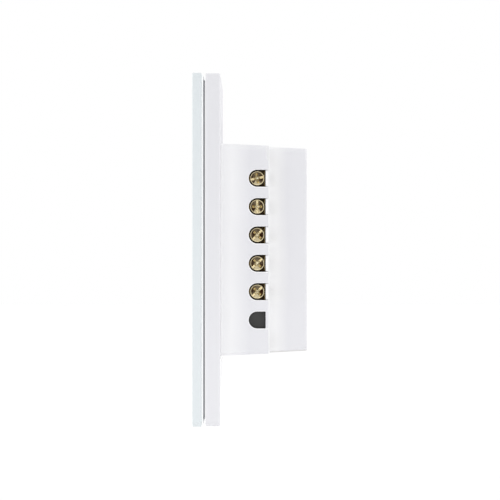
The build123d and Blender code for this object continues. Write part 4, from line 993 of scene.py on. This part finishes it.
# %% [markdown]
# ## Sheet of glass
# In the CAD model the glass and the ink touch, and two faces in one place flicker in a render. So the glass
# is made again a fiftieth of a millimetre thinner at the back. Its outline is a rectangle with round corners,
# and its edge has a small ground bevel at front and back. The outline is carried through four depths.

# %% Glass sheet
CORNER = 2.0 * MM
ARRIS = 0.22 * MM
INK_GAP = 0.02 * MM
CORNER_STEPS = 12


def rounded_outline(half_x, half_z, corner):
    """Quarter circles round the four corners, joined by straight runs, as an (n, 2) array."""
    turn = np.linspace(0.0, math.pi / 2, CORNER_STEPS + 1) + np.arange(4)[:, None] * math.pi / 2
    centres = np.array([(1, 1), (-1, 1), (-1, -1), (1, -1)]) * (half_x - corner, half_z - corner)
    arcs = corner * np.stack([np.cos(turn), np.sin(turn)], -1)
    return (centres[:, None] + arcs).reshape(-1, 2)


def glass_sheet():
    """Outline at four depths: inset at both faces by the bevel, and full in between."""
    front, back = glass_low.y, glass_high.y - INK_GAP
    loops = []
    for inset, depth in ((ARRIS, front), (0.0, front + ARRIS), (0.0, back - ARRIS), (ARRIS, back)):
        outline = rounded_outline(glass_high.x - inset, glass_high.z - inset, CORNER - inset)
        loops.append(np.insert(outline, 1, depth, axis=1))
    return np.array(loops)


front_glass = make_piece("front_glass", [glass_sheet()], [clear_glass, ground_rim, polished_arris],
                         "front_panel", [2, 1, 1])
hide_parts("glass_panel")

# %% [markdown]
# ## Solder on the front board
# The header's socket has ten pins soldered through the front board. Melted solder climbs a pin and hollows
# in between pin and pad, so its profile is a falling curve: height = rise * ((pad - r) / (pad - pin)) ** 2.

# %% Solder joints
TURNS = 24
PAD, PIN, RISE = 0.85 * MM, 0.3 * MM, 0.75 * MM
SUNK = 0.02 * MM
PIN_ROWS = 5


def solder_joint(x, front, z, swell):
    """Surface of revolution about Y. The profile falls with the square of the way from pin to pad."""
    share = np.linspace(0.0, 1.0, 10)
    pad = PAD * swell
    radius = np.concatenate([[PIN * 0.4, PIN * 0.9], PIN + (pad - PIN) * share, [pad * 0.98]])
    height = np.concatenate([[RISE * 1.02, RISE * 1.01], RISE * (1 - share) ** 2, [-SUNK]])
    turn = np.linspace(0.0, 2 * math.pi, TURNS, endpoint=False)
    across = radius[:, None] * (1 + 0.05 * np.cos(2 * turn + 40 * swell))
    depth = np.broadcast_to(front - height[:, None], across.shape)
    return np.stack([x + across * np.cos(turn), depth, z + across * np.sin(turn)], -1)


random = np.random.default_rng(7)
board_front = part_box("touch_board")[0].y
socket_low, socket_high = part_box("header_socket")
columns = socket_low.x + (socket_high.x - socket_low.x) * np.array([0.25, 0.75])
rows = socket_low.z + (socket_high.z - socket_low.z) * (np.arange(PIN_ROWS) + 0.5) / PIN_ROWS
joints = [solder_joint(x, board_front, z, random.uniform(0.92, 1.05)) for x in columns for z in rows]
make_piece("touch_board_solder", joints, [solder], "base")

# %% [markdown]
# ## Chip parts on the front board
# Around each key stand a few chip resistors and capacitors. A chip is a squared-off ball: each coordinate is
# a sine or cosine of its angle raised to a small power, which flattens the faces and leaves round edges.

# %% Chip parts
CHIP_HALF = (0.8 * MM, 0.24 * MM, 0.42 * MM)
CAP_HALF = 0.24 * MM
CHIP_SPOTS = ((-7.2, 3.4), (-7.2, 1.2), (7.4, -2.2), (7.4, 3.1), (10.8, 0.4))
CHIP_COLUMNS = (-7.2, 7.4, 10.8)
TAN_START = 7.0 * MM, 7.1 * MM


def bent(value, power):
    """value raised to a power, with its sign kept."""
    return np.sign(value) * np.abs(value) ** power


def squared_ball(centre, half, power=0.22):
    """Superellipsoid: rounded block with its long axis along X. A power near 0 gives flatter faces."""
    tilt = np.linspace(-0.49 * math.pi, 0.49 * math.pi, 17)[:, None]
    turn = np.linspace(0.0, 2 * math.pi, 32, endpoint=False)[None, :]
    around = bent(np.cos(tilt), power)
    x = bent(np.sin(tilt), power) * np.ones_like(turn)
    y = around * bent(np.cos(turn), power)
    z = around * bent(np.sin(turn), power)
    return np.array(centre) + np.stack([x, y, z], -1) * half


@finish()
def chip_parts(pot):
    """Dark or tan body between two tinned end caps, told apart by the place along X."""
    ends = [x * MM + side * CHIP_HALF[0] for x in CHIP_COLUMNS for side in (-1, 1)]
    caps = pot.either(*[pot.between("X", end - CAP_HALF, end + CAP_HALF) for end in ends])
    body = pot.mix(pot.spread("X", *TAN_START), "242428", "A88860")
    return pot.look((caps, body, "D6D6D2"), (1500.0, 0.25, 0.5), (6000.0, 0.01), Metallic=caps)


chips = [squared_ball((x * MM, board_front - CHIP_HALF[1], key.z + z * MM), CHIP_HALF)
         for key in spring_centres for x, z in CHIP_SPOTS]
make_piece("touch_board_chips", chips, [chip_parts], "base")

# %% [markdown]
# ## Label on the back
# The back has a shallow recess for a label. The label is a thin polyester sheet with round corners and blank
# fields, because this part carries no maker's text. Its outline is a squared circle, and its edge lifts by a
# few hundredths of a millimetre, as a sticker's edge does.

# %% Label
LABEL_HALF_X, LABEL_HALF_Z = 10.7 * MM, 21.7 * MM
LABEL_SHEET, LABEL_DROP, LABEL_LIFT = 0.1 * MM, 0.29 * MM, 0.03 * MM
LABEL_CORNER = 0.12
LABEL_ROWS = (20.4, 8.0, -8.0, -20.4)
FIELD_SIDE = 9.2 * MM, 9.4 * MM
LINE_HALF = 0.1 * MM
BACK_EDGE = 14.037 * MM
cover_low, cover_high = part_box("rear_cover")
label_x = (BACK_EDGE + cover_low.x) / 2


def label_sheet(centre_x, back):
    """Squared circle filled from its centre, on both faces, with the rim lifted where the sheet ends."""
    turn = np.linspace(0.0, 2 * math.pi, 96, endpoint=False)
    share = np.array([0.2, 0.5, 0.8, 0.95, 0.99, 1.0])
    front = back - LABEL_DROP + LABEL_LIFT * np.clip((share - 0.9) / 0.1, 0.0, 1.0) ** 2
    share = np.concatenate([share, share[::-1]])[:, None]
    depth = np.concatenate([front, (front + LABEL_SHEET)[::-1]])[:, None]
    x = centre_x + share * bent(np.cos(turn), LABEL_CORNER) * LABEL_HALF_X
    z = share * bent(np.sin(turn), LABEL_CORNER) * LABEL_HALF_Z
    return np.stack([x, np.broadcast_to(depth, x.shape), z], -1)


@finish("label_sheet", Metallic=0.3)
def label_finish(pot):
    """Satin silver with a thin grey frame and two blank fields."""
    side = pot.size(pot.minus("X", label_x))
    inside = pot.below(pot.size("Z"), LABEL_ROWS[0] * MM)
    upright = pot.times(pot.between(side, *FIELD_SIDE), inside)
    level = pot.either(*[pot.between("Z", z * MM - LINE_HALF, z * MM + LINE_HALF) for z in LABEL_ROWS])
    lines = pot.either(upright, pot.times(level, pot.below(side, FIELD_SIDE[1])))
    silver = pot.mix(120.0, "CECFD2", "D8D9DB")
    return pot.look((lines, silver, "787A80"), (600.0, 0.34, 0.46), (3000.0, 0.006, 3.0))


make_piece("rating_label", [label_sheet(label_x, cover_high.y)], [label_finish], "base")

# %% [markdown]
# ## Floor, light and camera
# The photograph is a cut-out on pure white with soft light from all round and a little more from above, in
# front and behind. A pale floor and a bright sky give that light. The sky shows as plain white to the camera
# and through the glass, and as a soft grey to everything that it lights.

# %% Floor and sky
FLOOR_HEIGHT = -0.1
FLOOR_HALF = 3.0
SKY_EVEN, SKY_BEHIND, SKY_BEFORE, SKY_ABOVE = 0.6, 0.9, 0.6, 0.6
SKY_LEVEL = 0.8


@finish(Specular_IOR_Level=0.0)
def floor_board(pot):
    """Matt white board with the faintest unevenness."""
    return {"Base_Color": pot.mix(3.0, "FCFCFC", "FEFEFE"), "Roughness": pot.gloss(20.0, 0.85, 0.95)}


floor_mesh = bpy.data.meshes.new("floor")
floor_mesh.from_pydata([(x * FLOOR_HALF, y * FLOOR_HALF, FLOOR_HEIGHT)
                        for x, y in ((-1, -1), (1, -1), (1, 1), (-1, 1))], [], [(0, 1, 2, 3)])
floor_mesh.materials.append(floor_board)
floor = new_object("floor", floor_mesh)

world = bpy.data.worlds.new("studio")
bpy.context.scene.world = world
world.use_nodes = True
world.node_tree.nodes.clear()
sky = Pot(world.node_tree)
way = sky.add("SeparateXYZ", {0: sky.add("TexCoord").outputs["Generated"]}).outputs
sides = [sky.spread(way[axis], 0.0, far, 0.0, level)
         for axis, far, level in (("Y", 1.0, SKY_BEHIND), ("Y", -1.0, SKY_BEFORE), ("Z", 1.0, SKY_ABOVE))]
path = sky.add("LightPath").outputs
seen = sky.either(*[path[f"Is {ray} Ray"] for ray in ("Camera", "Transmission", "Glossy")])
strength = sky.times(sky.plus(*sides, SKY_EVEN), SKY_LEVEL)
lit = sky.add("Background", {"Color": "FFFFFF", "Strength": strength}).outputs[0]
plain = sky.add("Background", {"Color": "FFFFFF", "Strength": 1.0}).outputs[0]
chosen = sky.add("MixShader", {0: seen, 1: lit, 2: plain}).outputs[0]
sky.add("OutputWorld", {"Surface": chosen})
print("floor at", FLOOR_HEIGHT, "sky light", SKY_LEVEL)

# %% [markdown]
# ## Card near the floor
# A small lit card stands low on the camera's right. It gives the underside of the box and the frame's lower
# end the light that a white table throws up in a studio.

# %% Card near the floor
CARD_PLACE = (0.21, 0.01, -0.094)
CARD_AIM = (0.03, 0.0, -0.05)
CARD_SIZE = 0.12
CARD_POWER = 0.045
card_data = bpy.data.lights.new("floor_card", "AREA")
card_data.energy = CARD_POWER
card_data.size = CARD_SIZE
card = new_object("floor_card", card_data)
card.location = CARD_PLACE
aim = np.array(CARD_AIM) - np.array(CARD_PLACE)
card.rotation_euler = (math.acos(-aim[2] / np.linalg.norm(aim)), 0.0, math.atan2(-aim[0], aim[1]))
card.visible_camera = False
print("card aimed along, mm", in_mm(aim))

# %% [markdown]
# ## Camera
# The photograph looks straight at the +X side from about 0.7 m with a long lens. 120 mm of glass is 354
# pixels tall, and the middle of the picture falls 10.1 mm behind the wall plane.

# %% Camera
NEAR_SIDE = 0.037
DISTANCE = 0.7
FIELD = 0.169
PICTURE_MIDDLE = 10.1 * MM
CAMERA_DROP = 0.1 * MM
camera_data = bpy.data.cameras.new("side_camera")
camera_data.sensor_width = 36.0
camera_data.lens = camera_data.sensor_width * DISTANCE / FIELD
camera_data.clip_start, camera_data.clip_end = 0.05, 20.0
camera = new_object("side_camera", camera_data)
camera.location = (NEAR_SIDE + DISTANCE, PICTURE_MIDDLE, -CAMERA_DROP)
camera.rotation_euler = (math.pi / 2, 0.0, math.pi / 2)
bpy.context.scene.camera = camera
bpy.context.scene.view_settings.view_transform = "Standard"
print("lens", round(camera_data.lens, 1), "mm")
